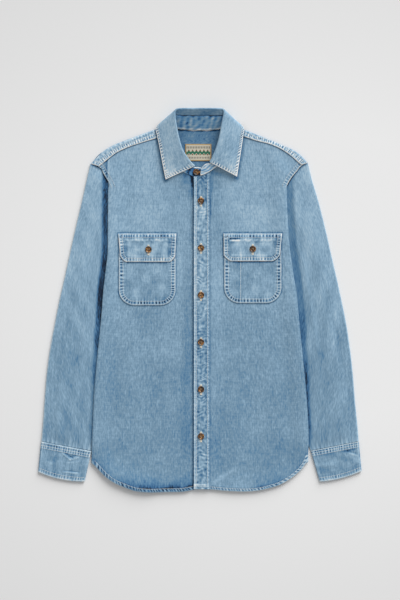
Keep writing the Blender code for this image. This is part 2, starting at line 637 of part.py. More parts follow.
def add_solid(name, points, faces, material):
    mesh = bpy.data.meshes.new(name)
    mesh.from_pydata((np.asarray(points) * MM).tolist(), [], faces)
    solid = bmesh.new()
    solid.from_mesh(mesh)
    bmesh.ops.recalc_face_normals(solid, faces=solid.faces)
    solid.to_mesh(mesh)
    solid.free()
    mesh.shade_smooth()
    mesh.set_sharp_from_angle(angle=math.radians(40))
    mesh.materials.append(shirt_material(material))
    thing = bpy.data.objects.new(name, mesh)
    bpy.context.scene.collection.objects.link(thing)
    return thing


def normals_of(grid, tube=False):
    """Unit normals of a grid of points; a tube's columns run round and meet."""
    down = np.gradient(grid, axis=0)
    round_ = (np.roll(grid, -1, 1) - np.roll(grid, 1, 1)) if tube else np.gradient(grid, axis=1)
    return unit(np.cross(down, round_))


def wall(name, grid, thick=CLOTH, material="denim", tube=False):
    """A closed solid of cloth, from the grid of its middle surface."""
    rows, columns = grid.shape[:2]
    half = np.broadcast_to(np.asarray(thick, float) / 2, (rows, columns))[..., None]
    normal = normals_of(grid, tube)
    points = np.concatenate([(grid + normal * half).reshape(-1, 3), (grid - normal * half).reshape(-1, 3)])
    other = rows * columns
    faces = []
    for r in range(rows - 1):
        for c in range(columns if tube else columns - 1):
            n = (c + 1) % columns
            a, b, d, e = r * columns + c, r * columns + n, (r + 1) * columns + n, (r + 1) * columns + c
            faces.append((a, b, d, e))
            faces.append((e + other, d + other, b + other, a + other))
    ends = [[r * columns + c for c in range(columns)] for r in (0, rows - 1)]
    rims = [line + line[:1] for line in ends] if tube else ends
    if not tube:
        rims += [[r * columns + c for r in range(rows)] for c in (0, columns - 1)]
    for line in rims:
        faces += [(a, b, b + other, a + other) for a, b in zip(line, line[1:])]
    return add_solid(name, points, faces, material)


def moved_out(grid, distance):
    """The same grid, moved along its normals to the side that faces up."""
    normal = normals_of(grid)
    if normal[..., 2].mean() < 0:
        normal = -normal
    return grid + normal * distance


def height_on(grid, x, y):
    """Height of a panel's middle surface, as built from flat triangles, above plan points."""
    a, b, c, d = grid[:-1, :-1], grid[:-1, 1:], grid[1:, 1:], grid[1:, :-1]
    halves = [np.stack(corner, 2).reshape(-1, 3, 3) for corner in ((a, b, c), (a, c, d))]
    corners = np.concatenate(halves)
    p, q, r = corners[:, 0], corners[:, 1], corners[:, 2]
    area = (q[:, 0] - p[:, 0]) * (r[:, 1] - p[:, 1]) - (r[:, 0] - p[:, 0]) * (q[:, 1] - p[:, 1])
    heights = np.full(np.shape(x), -1.0)
    for place in np.ndindex(np.shape(x)):
        px, py = x[place], y[place]
        u = ((px - p[:, 0]) * (r[:, 1] - p[:, 1]) - (r[:, 0] - p[:, 0]) * (py - p[:, 1])) / area
        v = ((q[:, 0] - p[:, 0]) * (py - p[:, 1]) - (px - p[:, 0]) * (q[:, 1] - p[:, 1])) / area
        inside = (u >= -1e-6) & (v >= -1e-6) & (u + v <= 1 + 1e-6)
        z = p[:, 2] + u * (q[:, 2] - p[:, 2]) + v * (r[:, 2] - p[:, 2])
        heights[place] = z[inside].max()
    return heights


def make_fronts():
    """Both fronts, the button band and the placket, whose points are the fronts' own, moved out."""
    length = NECK[1][0][1] - HEM[1][0][1]
    hem = [0, HEM_BAND / length, (HEM_BAND + 2) / length]
    levels = np.concatenate([hem, FRONT_LEVELS])
    hooks = np.linspace(0, 1, 6)[1:]
    grids = {}
    for side, name in ((-1, "front_right"), (1, "front_left")):
        first, inner = band_edges(side)
        width = edge_out(side, HEM[side][-1][1]) - CREST_INSET - first
        band = np.array([0, 0.5, 1.0]) * (inner - first) / width
        acrosses = np.concatenate([band, BESIDE_STRIP[side], FRONT_ACROSS])
        grid = front_grid(side, levels, acrosses, hooks)
        thick = np.full(grid.shape[:2], CLOTH)
        thick[:2] += HEM_EXTRA
        wall(name, grid, thick)
        grids[side] = grid
    band = moved_out(grids[-1][:, :3], CLOTH + SEAM)
    wall("button_band", band[2:-1])
    placket = moved_out(grids[1][:, :3], thick[:, :3, None] / 2 + SEAM + DOUBLED / 2)
    wall("placket", placket, DOUBLED)
    return grids


def corner_lift(x, middle, half, radius):
    """How far a rounded lower corner rises at x."""
    into = np.clip((np.abs(x - middle) - (half - radius)) / radius, 0, 1)
    return radius * (1 - np.sqrt(1 - into * into))


def make_pocket(side, grid, word):
    near, far, top, flap_low, bag_low, button_out, button_y = POCKET[side]
    middle, half = (near + far) / 2, (far - near) / 2
    across = np.array(POCKET_ACROSS)
    bag_x = middle + across * half
    low = bag_low + corner_lift(bag_x, middle, half, POCKET_CORNER)
    y = mix(low, top - BAG_TOP_SHORT, np.linspace(0, 1, BAG_ROWS)[:, None])
    x = np.broadcast_to(bag_x, y.shape)
    base = height_on(grid, side * x, y)
    wall("pocket_" + word, np.dstack([side * x, y, base + CLOTH + SEAM + POCKET_LIFT]))
    flap_x = middle + across * (half + FLAP_OVERHANG)
    wide, high = FLAP_CORNER[side]
    into = np.clip((np.abs(flap_x - middle) - (half + FLAP_OVERHANG - wide)) / wide, 0, 1)
    y = mix(flap_low + high * into ** FLAP_CORNER_POWER, top, np.array(FLAP_ROWS)[:, None])
    taper = np.where(across < 0, *FLAP_TAPER[side]) * across
    x = flap_x - taper * (top - y) / (top - flap_low - high)
    base = height_on(grid, side * x, y)
    over = step((top - y) / FLAP_RISE)
    z = base + CLOTH / 2 + SEAM + DOUBLED / 2 + POCKET_LIFT + over * (CLOTH + SEAM)
    wall("flap_" + word, np.dstack([side * x, y, z]), DOUBLED)
    at = height_on(grid, np.array([side * button_out]), np.array([button_y]))[0]
    stack = CLOTH / 2 + SEAM + CLOTH + SEAM + DOUBLED + POCKET_LIFT + SEAM
    make_button("button_pocket_" + word, (side * button_out, button_y, at + stack))


def make_button(name, place, segments=BUTTON_SIDES):
    """A turned disc with a raised rim and a dished face; `place` is the middle of its underside."""
    points, faces = [], []
    for radius, z in BUTTON_PROFILE[1:-1]:
        for k in range(segments):
            angle = 2 * math.pi * k / segments
            x, y = radius * math.cos(angle), radius * math.sin(angle)
            points.append((place[0] + x, place[1] + y, place[2] + z))
    low, high = len(points), len(points) + 1
    points += [(place[0], place[1], place[2]), (place[0], place[1], place[2] + BUTTON_PROFILE[-1][1])]
    for ring in range(len(BUTTON_PROFILE) - 3):
        for k in range(segments):
            n = (k + 1) % segments
            a, b = ring * segments + k, ring * segments + n
            faces.append((a, b, b + segments, a + segments))
    last = (len(BUTTON_PROFILE) - 3) * segments
    for k in range(segments):
        n = (k + 1) % segments
        faces += [(low, n, k), (high, last + k, last + n)]
    add_solid(name, points, faces, "button")


def make_buttons():
    top = OVER_Z + CLOTH / 2 + SEAM + DOUBLED + SEAM
    for number in range(PLACKET_BUTTONS):
        y = BUTTON_TOP_Y - number * BUTTON_STEP
        make_button(f"button_placket_{number + 1}", (BUTTON_X, y, top))
    make_button("button_stand", STAND_BUTTON)


def make_label():
    x = LABEL_X + np.linspace(-0.5, 0.5, 4) * LABEL_WIDE
    y = LABEL_Y + np.linspace(-0.5, 0.5, 3) * LABEL_HIGH
    grid_y, grid_x = np.meshgrid(y, x, indexing="ij")
    z = np.full(grid_x.shape, CLOTH + SEAM + LABEL_THICK / 2)
    wall("label", np.dstack([grid_x, grid_y, z]), LABEL_THICK, "label")


def make_back():
    length = UNDERARM_Y - HEM[1][-1][1]
    hem = [0, HEM_BAND / length, (HEM_BAND + 2) / length]
    levels = np.concatenate([hem, BACK_LEVELS, 1 + np.array(ARM_SHARES[:5:-1])])
    half = np.array(BACK_SHARES)
    wall("back", back_grid(levels, np.concatenate([-half[::-1], [0], half])))


def make_sleeves():
    for side, word in ((-1, "right"), (1, "left")):
        wall("sleeve_" + word, sleeve_grid(side, SLEEVE_DOWNS, ARM_SHARES), tube=True)
        cuff = cuff_grid(side, np.linspace(0, 1, CUFF_ROWS), np.linspace(0, 1, CUFF_COLUMNS))
        wall("cuff_" + word, cuff, CUFF_CLOTH, tube=True)


def clear_scene():
    for thing in list(bpy.data.objects):
        bpy.data.objects.remove(thing, do_unlink=True)


clear_scene()
make_back()
wall("yoke", yoke_grid())
fronts = make_fronts()
make_sleeves()
make_collar()
for wearer_side, side_word in ((-1, "right"), (1, "left")):
    make_pocket(wearer_side, fronts[wearer_side], side_word)
make_buttons()
make_label()
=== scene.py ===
"""Washed denim work shirt, buttoned and laid out face up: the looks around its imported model.

Tables and sizes are millimetres, and every mesh is in metres. x runs to the wearer's left,
y towards the collar, z up from the surface. `side` is -1 for the wearer's right and 1 for
the left, and `out` is the distance from the centre front along that side.
"""

import math

import bmesh
import bpy
import numpy as np
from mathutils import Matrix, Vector
from mathutils.bvhtree import BVHTree


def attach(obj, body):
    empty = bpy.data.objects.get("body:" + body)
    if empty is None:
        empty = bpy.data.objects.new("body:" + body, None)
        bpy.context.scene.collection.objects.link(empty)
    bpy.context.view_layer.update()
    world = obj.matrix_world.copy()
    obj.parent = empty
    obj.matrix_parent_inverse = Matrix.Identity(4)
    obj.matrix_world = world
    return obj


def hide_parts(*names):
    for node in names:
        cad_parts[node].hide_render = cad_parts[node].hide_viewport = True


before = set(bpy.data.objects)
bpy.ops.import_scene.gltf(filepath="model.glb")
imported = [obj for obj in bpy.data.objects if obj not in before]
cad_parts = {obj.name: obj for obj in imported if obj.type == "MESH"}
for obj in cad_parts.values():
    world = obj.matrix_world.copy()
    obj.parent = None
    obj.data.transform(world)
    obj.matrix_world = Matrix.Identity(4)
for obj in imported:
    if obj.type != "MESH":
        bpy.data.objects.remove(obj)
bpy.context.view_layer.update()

# Camera, surface and light.
# The shirt lies on a pale table and is seen from straight above. A large soft light stands above
# and to the right, and the white room fills in, so the cloth's shadows are soft and fall down.
MM = 0.001
PICTURE_HIGH = 1278 * MM
LENS, SENSOR = 150.0, 36.0
LAMP_TURN, LAMP_HEIGHT, LAMP_WIDE = 64.0, 27.0, 44.0
LAMP_STRENGTH = 3.3
SKY_STRENGTH = 0.50
TABLE, TABLE_SHADED = "#ebebeb", "#dadada"
TABLE_HALF = 4000 * MM
# the light's fall-off is painted into the table's colour: where it is brightest, from how far off to how far
# off it falls away, and how much faster in y
TABLE_LIT_AT = (250 * MM, 50 * MM)
TABLE_FALLS = (400 * MM, 1200 * MM)
TABLE_FALLS_IN_Y = 1.3


def linear(code):
    """Linear colour of an sRGB hex code."""
    parts = [int(code[k:k + 2], 16) / 255 for k in (1, 3, 5)]
    return (*[p / 12.92 if p <= 0.04045 else ((p + 0.055) / 1.055) ** 2.4 for p in parts], 1.0)


def add(tree, kind, inputs=None, **settings):
    """Adds one shader node: its settings, and for each input a value or the socket that feeds it."""
    made = tree.nodes.new("ShaderNode" + kind)
    for name, value in settings.items():
        setattr(made, name, value)
    for name, value in (inputs or {}).items():
        if isinstance(value, bpy.types.NodeSocket):
            tree.links.new(value, made.inputs[name])
        else:
            made.inputs[name].default_value = value
    return made


def surface(name, roughness, **more):
    """A new material, with its node tree and its one shader."""
    material = bpy.data.materials.new(name)
    material.use_nodes = True
    tree = material.node_tree
    shader = tree.nodes["Principled BSDF"]
    shader.inputs["Roughness"].default_value = roughness
    for socket, value in more.items():
        shader.inputs[socket.replace("_", " ")].default_value = value
    return material, tree, shader


camera = bpy.data.objects.new("camera", bpy.data.cameras.new("camera"))
camera.data.lens = LENS
camera.data.sensor_width = SENSOR
camera.data.clip_end = 50
camera.location = (0, 0, PICTURE_HIGH * LENS / SENSOR)
bpy.context.scene.collection.objects.link(camera)
bpy.context.scene.camera = camera
bpy.context.scene.view_settings.view_transform = "Standard"

lamp = bpy.data.objects.new("lamp", bpy.data.lights.new("lamp", "SUN"))
lamp.data.angle = math.radians(LAMP_WIDE)
lamp.data.energy = LAMP_STRENGTH
turn, height = math.radians(LAMP_TURN), math.radians(LAMP_HEIGHT)
toward = Vector((math.cos(turn) * math.cos(height), math.sin(turn) * math.cos(height), math.sin(height)))
lamp.rotation_euler = toward.to_track_quat("Z", "Y").to_euler()
bpy.context.scene.collection.objects.link(lamp)

world = bpy.data.worlds.new("soft room")
world.use_nodes = True
world.node_tree.nodes["Background"].inputs["Color"].default_value = linear("#ffffff")
world.node_tree.nodes["Background"].inputs["Strength"].default_value = SKY_STRENGTH
bpy.context.scene.world = world

table_mesh = bpy.data.meshes.new("table")
table_mesh.from_pydata([(x * TABLE_HALF, y * TABLE_HALF, 0) for x, y in ((-1, -1), (1, -1), (1, 1), (-1, 1))],
                       [], [(0, 1, 2, 3)])
table = bpy.data.objects.new("table", table_mesh)
table_paint, tree, shader = surface("matt table", 0.9, Specular_IOR_Level=0.1)
place = add(tree, "NewGeometry").outputs["Position"]
away = add(tree, "VectorMath", {0: place, 1: (*TABLE_LIT_AT, 0.0)}, operation="SUBTRACT").outputs[0]
away = add(tree, "VectorMath", {0: away, 1: (1.0, TABLE_FALLS_IN_Y, 1.0)}, operation="MULTIPLY").outputs[0]
away = add(tree, "VectorMath", {0: away}, operation="LENGTH").outputs["Value"]
near, far = TABLE_FALLS
share = add(tree, "MapRange", {"Value": away, "From Min": near, "From Max": far}).outputs[0]
shade = add(tree, "Mix", {0: share, 6: linear(TABLE), 7: linear(TABLE_SHADED)}, data_type="RGBA").outputs[2]
tree.links.new(shade, shader.inputs["Base Color"])
table_mesh.materials.append(table_paint)
bpy.context.scene.collection.objects.link(table)

# Denim.
# Three-by-one cotton twill, yarn-dyed with indigo and stone-washed. Its warp shows as uneven
# streaks down each panel, and the wash whitens whatever stands proud and leaves recesses blue.
# Shade in recesses, beside pieces that lie on others and under the collar is painted into it too.
DENIM_TONES = ((0.0, "#15253a"), (0.06, "#284460"), (0.12, "#325f88"), (0.2, "#4a7397"), (0.28, "#5981a1"),
               (0.4, "#7493aa"), (0.5, "#85a5bd"), (0.64, "#9fbbce"), (0.8, "#c0d0da"), (1.0, "#e8e9e7"))
# Width and length of each pattern in mm, and how strongly it changes the tone. The first three are
# warp slubs, single yarns and weft slubs, drawn about three times as coarse as real to show.
DENIM_PATTERNS = (
    (2.9, 30.0, 0.30),
    (2.4, 6.5, 0.46),
    (22.0, 2.6, 0.16),
    (6.5, 10.0, 0.20),
    (34.0, 60.0, 0.16),
)
# how many of them, from the first on, are yarns that stand out as well
YARN_PATTERNS = 3
TWILL_PITCH = 1.6
# the cloth's other side is drawn darker, as unwashed indigo and as painted shade where it lies turned in
REVERSE = -0.14
# Across a sewn edge: 0 at the edge, 1 at its first row of stitches, 2 at the last and 4 where the marks
# end; how far the wash whitened the cloth there, and how strong its puckers are. From 5 on it is the
# cloth beside the edge of another piece, darkened with painted shade and with the blue that stayed unfaded.
SEAM_ENDS = 8.0
SEAM_PROFILE = ((0.0, 0.40, 0.1), (0.8, 0.34, 0.15), (1.0, 0.14, 0.45), (1.15, -0.03, 1.0), (1.85, -0.04, 1.0),
                (2.0, 0.14, 0.45), (2.2, -0.10, 0.4), (2.7, -0.04, 0.2), (4.0, 0.0, 0.0), (4.9, 0.0, 0.0),
                (5.0, -0.6, 0.0), (5.3, -0.45, 0.0), (5.8, 0.0, 0.0), (8.0, 0.0, 0.0))
# where on that scale the cloth beside another piece begins, and where cloth without marks lies
BESIDE_PIECE = 5.0
UNMARKED = 9.0
PUCKER, PUCKER_WOBBLE = 0.24, 0.7


def set_stops(ramp, stops):
    """Gives a colour ramp its stops: the place and colour of each."""
    elements = ramp.color_ramp.elements
    while len(elements) < len(stops):
        elements.new(0.5)
    for element, (place, colour) in zip(elements, stops):
        element.position, element.color = place, colour


def denim_material(name, tones):
    """Twill in the tones of its wash: its fade, with the light and shade painted into it, its yarns, the marks
    of its sewn edges with the painted shade beside other pieces, and its ribs.
    """
    material, tree, shader = surface(name, 0.92, Specular_IOR_Level=0.18, Sheen_Weight=0.12,
                                     Sheen_Roughness=0.5)
    weave = add(tree, "UVMap", uv_map="weave").outputs[0]
    fade = add(tree, "Attribute", attribute_name="fade").outputs["Fac"]
    tone = add(tree, "Math", {0: fade, 1: 0.5}, operation="ADD").outputs[0]
    yarns = None
    for number, (wide, long, strength) in enumerate(DENIM_PATTERNS):
        per_metre = (1 / (wide * MM), 1 / (long * MM), 1)
        scaled = add(tree, "VectorMath", {0: weave, 1: per_metre}, operation="MULTIPLY").outputs[0]
        noise = add(tree, "TexNoise", {"Vector": scaled, "Scale": 1.0, "Detail": 2.0, "Roughness": 0.55,
                                       "W": 3.7 * number}, noise_dimensions="4D").outputs[0]
        centred = add(tree, "Math", {0: noise, 1: 0.5}, operation="SUBTRACT").outputs[0]
        tone = add(tree, "Math", {0: centred, 1: strength, 2: tone}, operation="MULTIPLY_ADD").outputs[0]
        if number < YARN_PATTERNS:
            yarns = add(tree, "Math", {0: centred, 1: yarns or 0.5}, operation="ADD").outputs[0]
    seam, along_seam, wear_and_shade, pucker = [add(tree, "Attribute", attribute_name=name).outputs["Fac"]
                                       for name in ("seam", "along", "wear_and_shade", "pucker")]
    place = add(tree, "Math", {0: seam, 1: SEAM_ENDS}, operation="DIVIDE").outputs[0]
    profile = add(tree, "ValToRGB", {0: place})
    set_stops(profile, [(spot / SEAM_ENDS, (0.5 + whitened / 2, puckered, 0.0, 1.0))
                        for spot, whitened, puckered in SEAM_PROFILE])
    parts = add(tree, "SeparateColor", {0: profile.outputs[0]})
    # the profile's whitening of worn edges, and below zero the unfaded blue between rows and the painted shade
    # beside other pieces
    worn_and_shaded = add(tree, "Math", {0: parts.outputs[0], 1: 2.0, 2: -1.0}, operation="MULTIPLY_ADD").outputs[0]
    tone = add(tree, "Math", {0: worn_and_shaded, 1: wear_and_shade, 2: tone}, operation="MULTIPLY_ADD").outputs[0]
    wobble = add(tree, "Math", {0: centred, 1: PUCKER_WOBBLE, 2: along_seam},
                 operation="MULTIPLY_ADD").outputs[0]
    turn = add(tree, "Math", {0: wobble, 1: 2 * math.pi}, operation="MULTIPLY").outputs[0]
    wave = add(tree, "Math", {0: turn}, operation="SINE").outputs[0]
    strong = add(tree, "Math", {0: parts.outputs[1], 1: pucker}, operation="MULTIPLY").outputs[0]
    ticks = add(tree, "Math", {0: strong, 1: wave}, operation="MULTIPLY").outputs[0]
    tone = add(tree, "Math", {0: ticks, 1: PUCKER, 2: tone}, operation="MULTIPLY_ADD").outputs[0]
    ramp = add(tree, "ValToRGB", {0: tone})
    set_stops(ramp, [(place, linear(code)) for place, code in tones])
    tree.links.new(ramp.outputs[0], shader.inputs["Base Color"])
    # the twill line is drawn three times as coarse as the real 0.5 mm, so that it shows
    ribs = add(tree, "TexWave", {"Vector": weave, "Scale": 1 / (TWILL_PITCH * MM) / 20, "Distortion": 0.6,
                                 "Detail": 1.0}, wave_type="BANDS", bands_direction="DIAGONAL").outputs[1]
    height = add(tree, "Math", {0: ribs, 1: 0.35, 2: yarns}, operation="MULTIPLY_ADD").outputs[0]
    bump = add(tree, "Bump", {"Height": height, "Strength": 0.5, "Distance": 0.25 * MM})
    tree.links.new(bump.outputs[0], shader.inputs["Normal"])
    return material


denim = denim_material("washed denim", DENIM_TONES)

# Back.
# One wide panel of denim that lies flat under everything else. Its side margins turn up to meet
# the fronts, it is sewn to the yoke at the top, and only its hem and edges ever show.
CLOTH = 1.2
SEAM = 0.3
# a rounded edge, in shares of half the thickness: how far each face stops short of it and sinks, and how
# far its middle stands out
ROUNDED_IN, ROUNDED_DOWN, ROUNDED_OUT = 0.55, 0.18, 0.05
HIDDEN_SEAM = 0.9
FLOOR = CLOTH / 2
HOOK_Z = 4.7
HOOK_HEM_Z = 2.4
HOOK_TUCK = 10.0
SIDE_Y = (-326, -298, -243, -185, -132, -89, -32, 17, 64, 102, 149, 202, 256, 303)
SIDE_EDGE = {
    -1: (230.9, 229.8, 227.5, 224.5, 219.8, 215.6, 210.0, 206.4, 200.9, 196.8, 196.4, 196.0, 195.1, 192.8),
    1: (230.2, 231.3, 229.4, 225.1, 220.0, 215.8, 210.2, 205.3, 197.9, 192.1, 188.3, 185.3, 184.0, 186.0),
}
# hem of each front, from the centre front outwards: out, y
HEM = {
    -1: ((-20, -402), (13, -404.0), (36, -407.8), (74, -408.8), (112, -409.4), (139, -406.2),
         (165, -397.0), (182, -389.6), (199, -377.9), (216, -361.2), (229, -346.8)),
    1: ((-15, -402.4), (20, -403.2), (65, -406.9), (104, -407.6), (129, -404.8), (150, -399.8),
        (171.5, -392.7), (188.5, -383.0), (205.5, -370.2), (222, -352.0), (230, -335.0)),
}
# armhole seam, from the shoulder point down to the underarm: out, y, height of the sleeve there
ARMHOLE = {
    -1: ((232.0, 289.0, 4.8), (216.6, 283.7, 3.2), (205.8, 269.4, 2.9), (198.3, 257.0, 2.7), (190, 240, 2.5),
         (187, 200, 2.4), (187, 140, 2.4), (187.4, 95.9, 2.4)),
    1: ((228.0, 291.0, 4.8), (217.9, 286.5, 3.2), (206, 273.9, 2.9), (195.1, 260.7, 2.7), (186, 245.6, 2.5),
        (178, 215, 2.5), (176, 170, 2.4), (180, 125, 2.4), (184.2, 95.9, 2.4)),
}
UNDERARM_Y = 95.9
YOKE_ARM_SHARE = 0.285


def step(value):
    """Smooth rise from 0 to 1."""
    t = np.clip(value, 0.0, 1.0)
    return t * t * (3 - 2 * t)


def mix(a, b, t):
    return a + (b - a) * t


def unit(vector):
    return vector / np.maximum(np.linalg.norm(vector, axis=-1, keepdims=True), 1e-9)


def through(keys, rows, at):
    """Smooth curve through the rows, read at the keys' values `at`."""
    keys, rows = np.asarray(keys, float), np.asarray(rows, float)
    at = np.clip(np.asarray(at, float), keys[0], keys[-1])
    slope = np.gradient(rows, keys, axis=0)
    k = np.clip(np.searchsorted(keys, at) - 1, 0, len(keys) - 2)
    span = keys[k + 1] - keys[k]
    t = (at - keys[k]) / span
    if rows.ndim > 1:
        t, span = t[..., None], span[..., None]
    rise = t * t * (3 - 2 * t)
    start, end = t * (1 - t) ** 2, t * t * (t - 1)
    return (1 - rise) * rows[k] + rise * rows[k + 1] + span * (start * slope[k] + end * slope[k + 1])


def places(*parts):
    """Places from 0 on: each part runs to an end, in steps of about its spacing."""
    found = [0.0]
    for end, spacing in parts:
        count = max(1, round((end - found[-1]) / spacing))
        found += list(np.linspace(found[-1], end, count + 1)[1:])
    return np.array(found)


def edge_out(side, y):
    return through(SIDE_Y, SIDE_EDGE[side], y)


def hem_y(side, out):
    hem = np.array(HEM[side])
    return through(hem[:, 0], hem[:, 1], out)


def armhole(side, y):
    """How far out the armhole seam lies at y, and the height of the sleeve there."""
    arm = np.array(ARMHOLE[side])[::-1]
    return through(arm[:, 1], arm[:, [0, 2]], y)


def arm_y(side, share):
    """y of the armhole seam at a share of its height, down from the shoulder point."""
    return mix(ARMHOLE[side][0][1], UNDERARM_Y, np.asarray(share, float))


def hook_z(side, y):
    """Height of the fronts' turned edge and of the back's margin, which meet at the side seam."""
    return mix(HOOK_HEM_Z, HOOK_Z, step((y - HEM[side][-1][1] - 4) / 34))


def spans(grid, axis):
    """Distance along the rows' or columns' lines of a grid, from its first point."""
    gaps = np.linalg.norm(np.diff(grid, axis=axis), axis=-1)
    start = np.zeros_like(np.take(gaps, [0], axis=axis))
    return np.concatenate([start, np.cumsum(gaps, axis=axis)], axis=axis)


def normals_of(grid, tube=False):
    """Unit normals of a grid of points; a tube's columns run round and meet."""
    down = np.gradient(grid, axis=0)
    across = (np.roll(grid, -1, 1) - np.roll(grid, 1, 1)) if tube else np.gradient(grid, axis=1)
    return unit(np.cross(down, across))


def rims(rows, columns, tube):
    """The closed lines of points along a panel's border, or round a tube's two ends."""
    if tube:
        return [[(r, c) for c in range(columns)] for r in (0, rows - 1)]
    line = [(0, c) for c in range(columns)] + [(r, columns - 1) for r in range(1, rows)]
    line += [(rows - 1, c) for c in range(columns - 2, -1, -1)] + [(r, 0) for r in range(rows - 2, 0, -1)]
    return [line]


def cloth(name, stands_for, grid, thick=CLOTH, fade=0.0, lift=0.0, seams=(), face=(-1, 0.5), reverse=REVERSE,
          tube=False, weave=None, material=None, slot="denim"):
    """A closed wall of cloth with rounded edges, from the grid of its middle surface. `fade` and `lift` say
    where the face is whitened or darkened, painted light and shade included, and how far it stands out, and
    `seams` are the marks of its sewn edges, of which the nearest one shows. `face` is a place where the face
    looks up, and `reverse` is the fade of the other side, or nothing where both sides are alike."""
    rows, columns = grid.shape[:2]
    normal = normals_of(grid, tube)
    row, column = face[0], int(face[1] * (columns - 1))
    if normal[row, column, 2] < 0:
        normal = -normal
    half = np.broadcast_to(np.asarray(thick, float) / 2, (rows, columns))[..., None]
    marks = np.stack([np.full((rows, columns, 4), (UNMARKED, 0.0, 0.0, 0.0)), *seams])
    nearest = np.argmin(marks[..., 0], axis=0)
    marks = np.take_along_axis(marks, nearest[None, ..., None], 0)[0]
    marks = np.dstack([np.broadcast_to(fade, (rows, columns)), marks])
    middle = grid + normal * np.broadcast_to(lift, (rows, columns))[..., None]
    outer, inner = middle + normal * half, middle - normal * half
    lip, lip_marks = [], []
    count = rows * columns
    lines = rims(rows, columns, tube)
    for line in lines:
        r, c = np.array(line).T
        near_r = np.clip(r, 1, rows - 2)
        near_c = c if tube else np.clip(c, 1, columns - 2)
        ahead = unit(middle[r, c] - middle[near_r, near_c])
        pull = ahead * half[r, c]
        sunk = ROUNDED_DOWN * normal[r, c] * half[r, c]
        outer[r, c] -= ROUNDED_IN * pull + sunk
        inner[r, c] -= ROUNDED_IN * pull - sunk
        lip.append(middle[r, c] + ROUNDED_OUT * pull)
        lip_marks.append(marks[r, c])
    points = np.concatenate([outer.reshape(-1, 3), inner.reshape(-1, 3), *lip])
    marks = marks.reshape(-1, 5)
    other = marks if reverse is None else np.full((count, 5), (reverse, UNMARKED, 0.0, 0.0, 0.0))
    marks = np.concatenate([marks, other, *lip_marks])
    index = np.arange(count).reshape(rows, columns)
    if tube:
        index = np.concatenate([index, index[:, :1]], 1)
    quads = np.stack([index[:-1, :-1], index[:-1, 1:], index[1:, 1:], index[1:, :-1]], -1).reshape(-1, 4)
    wide = columns + 1 if tube else columns
    place = np.arange(rows * wide).reshape(rows, wide)
    corners = np.stack([place[:-1, :-1], place[:-1, 1:], place[1:, 1:], place[1:, :-1]], -1).reshape(-1, 4)
    faces = [quads, quads[:, ::-1] + count]
    looks_at = [corners, corners[:, ::-1]]
    start = 2 * count
    for line in lines:
        r, c = np.array(line).T
        edge = r * columns + c
        at = r * wide + c
        own = start + np.arange(len(line))
        after, own_after, at_after = np.roll(edge, -1), np.roll(own, -1), np.roll(at, -1)
        faces.append(np.stack([edge, after, own_after, own], -1))
        faces.append(np.stack([own, own_after, after + count, edge + count], -1))
        looks_at += [np.stack([at, at_after, at_after, at], -1)] * 2
        start += len(line)
    faces, looks_at = np.concatenate(faces), np.concatenate(looks_at)
    if weave is None:
        weave = woven_along(np.concatenate([grid, grid[:, :1]], 1) if tube else grid)
    mesh = bpy.data.meshes.new(name)
    mesh.from_pydata((points * MM).tolist(), [], faces.tolist())
    for number, word in enumerate(("fade", "seam", "along", "wear_and_shade", "pucker")):
        values = np.ascontiguousarray(marks[:, number], np.float32)
        mesh.attributes.new(word, "FLOAT", "POINT").data.foreach_set("value", values)
    layer = mesh.uv_layers.new(name="weave")
    layer.data.foreach_set("uv", (weave.reshape(-1, 2) * MM)[looks_at].astype(np.float32).ravel())
    solid = bmesh.new()
    solid.from_mesh(mesh)
    bmesh.ops.recalc_face_normals(solid, faces=solid.faces)
    solid.to_mesh(mesh)
    solid.free()
    mesh.shade_smooth()
    return placed(name, mesh, material or denim, slot, stands_for)


def woven_along(grid):
    """Weft and warp place of each point, from how far it lies across and along the piece."""
    return np.dstack([spans(grid, 1), spans(grid, 0)])


def placed(name, mesh, material, slot, *stands_for):
    """The mesh as a piece of the shirt, in place of its plain solids."""
    mesh.materials.append(material)
    thing = bpy.data.objects.new(name, mesh)
    bpy.context.scene.collection.objects.link(thing)
    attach(thing, "root")
    if stands_for:
        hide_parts(*stands_for)
    return thing


def back_grid(levels, shares):
    """Middle surface of the back. Levels above 1 are shares of the armhole, down from the shoulder, plus 1."""
    rows = []
    for level in levels:
        halves = []
        for side in (-1, 1):
            low_y = HEM[side][-1][1]
            if level > 1:
                y = arm_y(side, level - 1)
                half = armhole(side, y)[0] - HIDDEN_SEAM
            else:
                y = mix(low_y, UNDERARM_Y, level)
                half = edge_out(side, y) - HOOK_TUCK - HIDDEN_SEAM
            out = np.abs(shares[shares * side > 0] if side > 0 else shares[shares <= 0]) * half
            y_here = y + (hem_y(side, out) + 1.0 - low_y) * (1 - min(level, 1)) ** 2
            rise = step((UNDERARM_Y - y) / 4) * step((out - half + 14) / 13)
            halves.append(np.column_stack([side * out, y_here, mix(FLOOR, hook_z(side, y), rise)]))
        rows.append(np.concatenate(halves))
    rows = np.array(rows)
    rows[-1, :, 1] -= SEAM
    return rows


back_half = places((0.9, 0.035), (1.0, 0.01))
back_levels = np.concatenate([places((0.05, 0.008), (1.0, 0.012)), 1 + np.linspace(0.98, YOKE_ARM_SHARE, 26)])
back = cloth("shirt_back", "back", back_grid(back_levels, np.concatenate([-back_half[:0:-1], back_half])),
             fade=-0.05, face=(5, 0.5))

# Yoke.
# A shaped double piece over the shoulders. Its back part lies face down inside the neck, it folds
# over the shoulders, and its front edges are topstitched down on the fronts.
SHOULDER_FOLD = 2.3
FRONT_SEAM_Z = 4.7
YOKE_SEAM_Z = FRONT_SEAM_Z + CLOTH + SEAM
YOKE_OVERLAP = 0.9
NECK_FOLD_RISE = 18.0
# front yoke seam, from the neck to the sleeve: out, y
YOKE_SEAM = {
    -1: ((70.3, 352.5), (95, 344.4), (123.3, 335.9), (158, 323.8), (179.8, 312.9), (192.8, 303.1),
         (214.5, 285.2)),
    1: ((70.3, 354.0), (95.2, 347.8), (119.1, 340.2), (151.7, 331.4), (173.4, 321.6), (186.6, 312.9),
        (216.0, 288.0)),
}
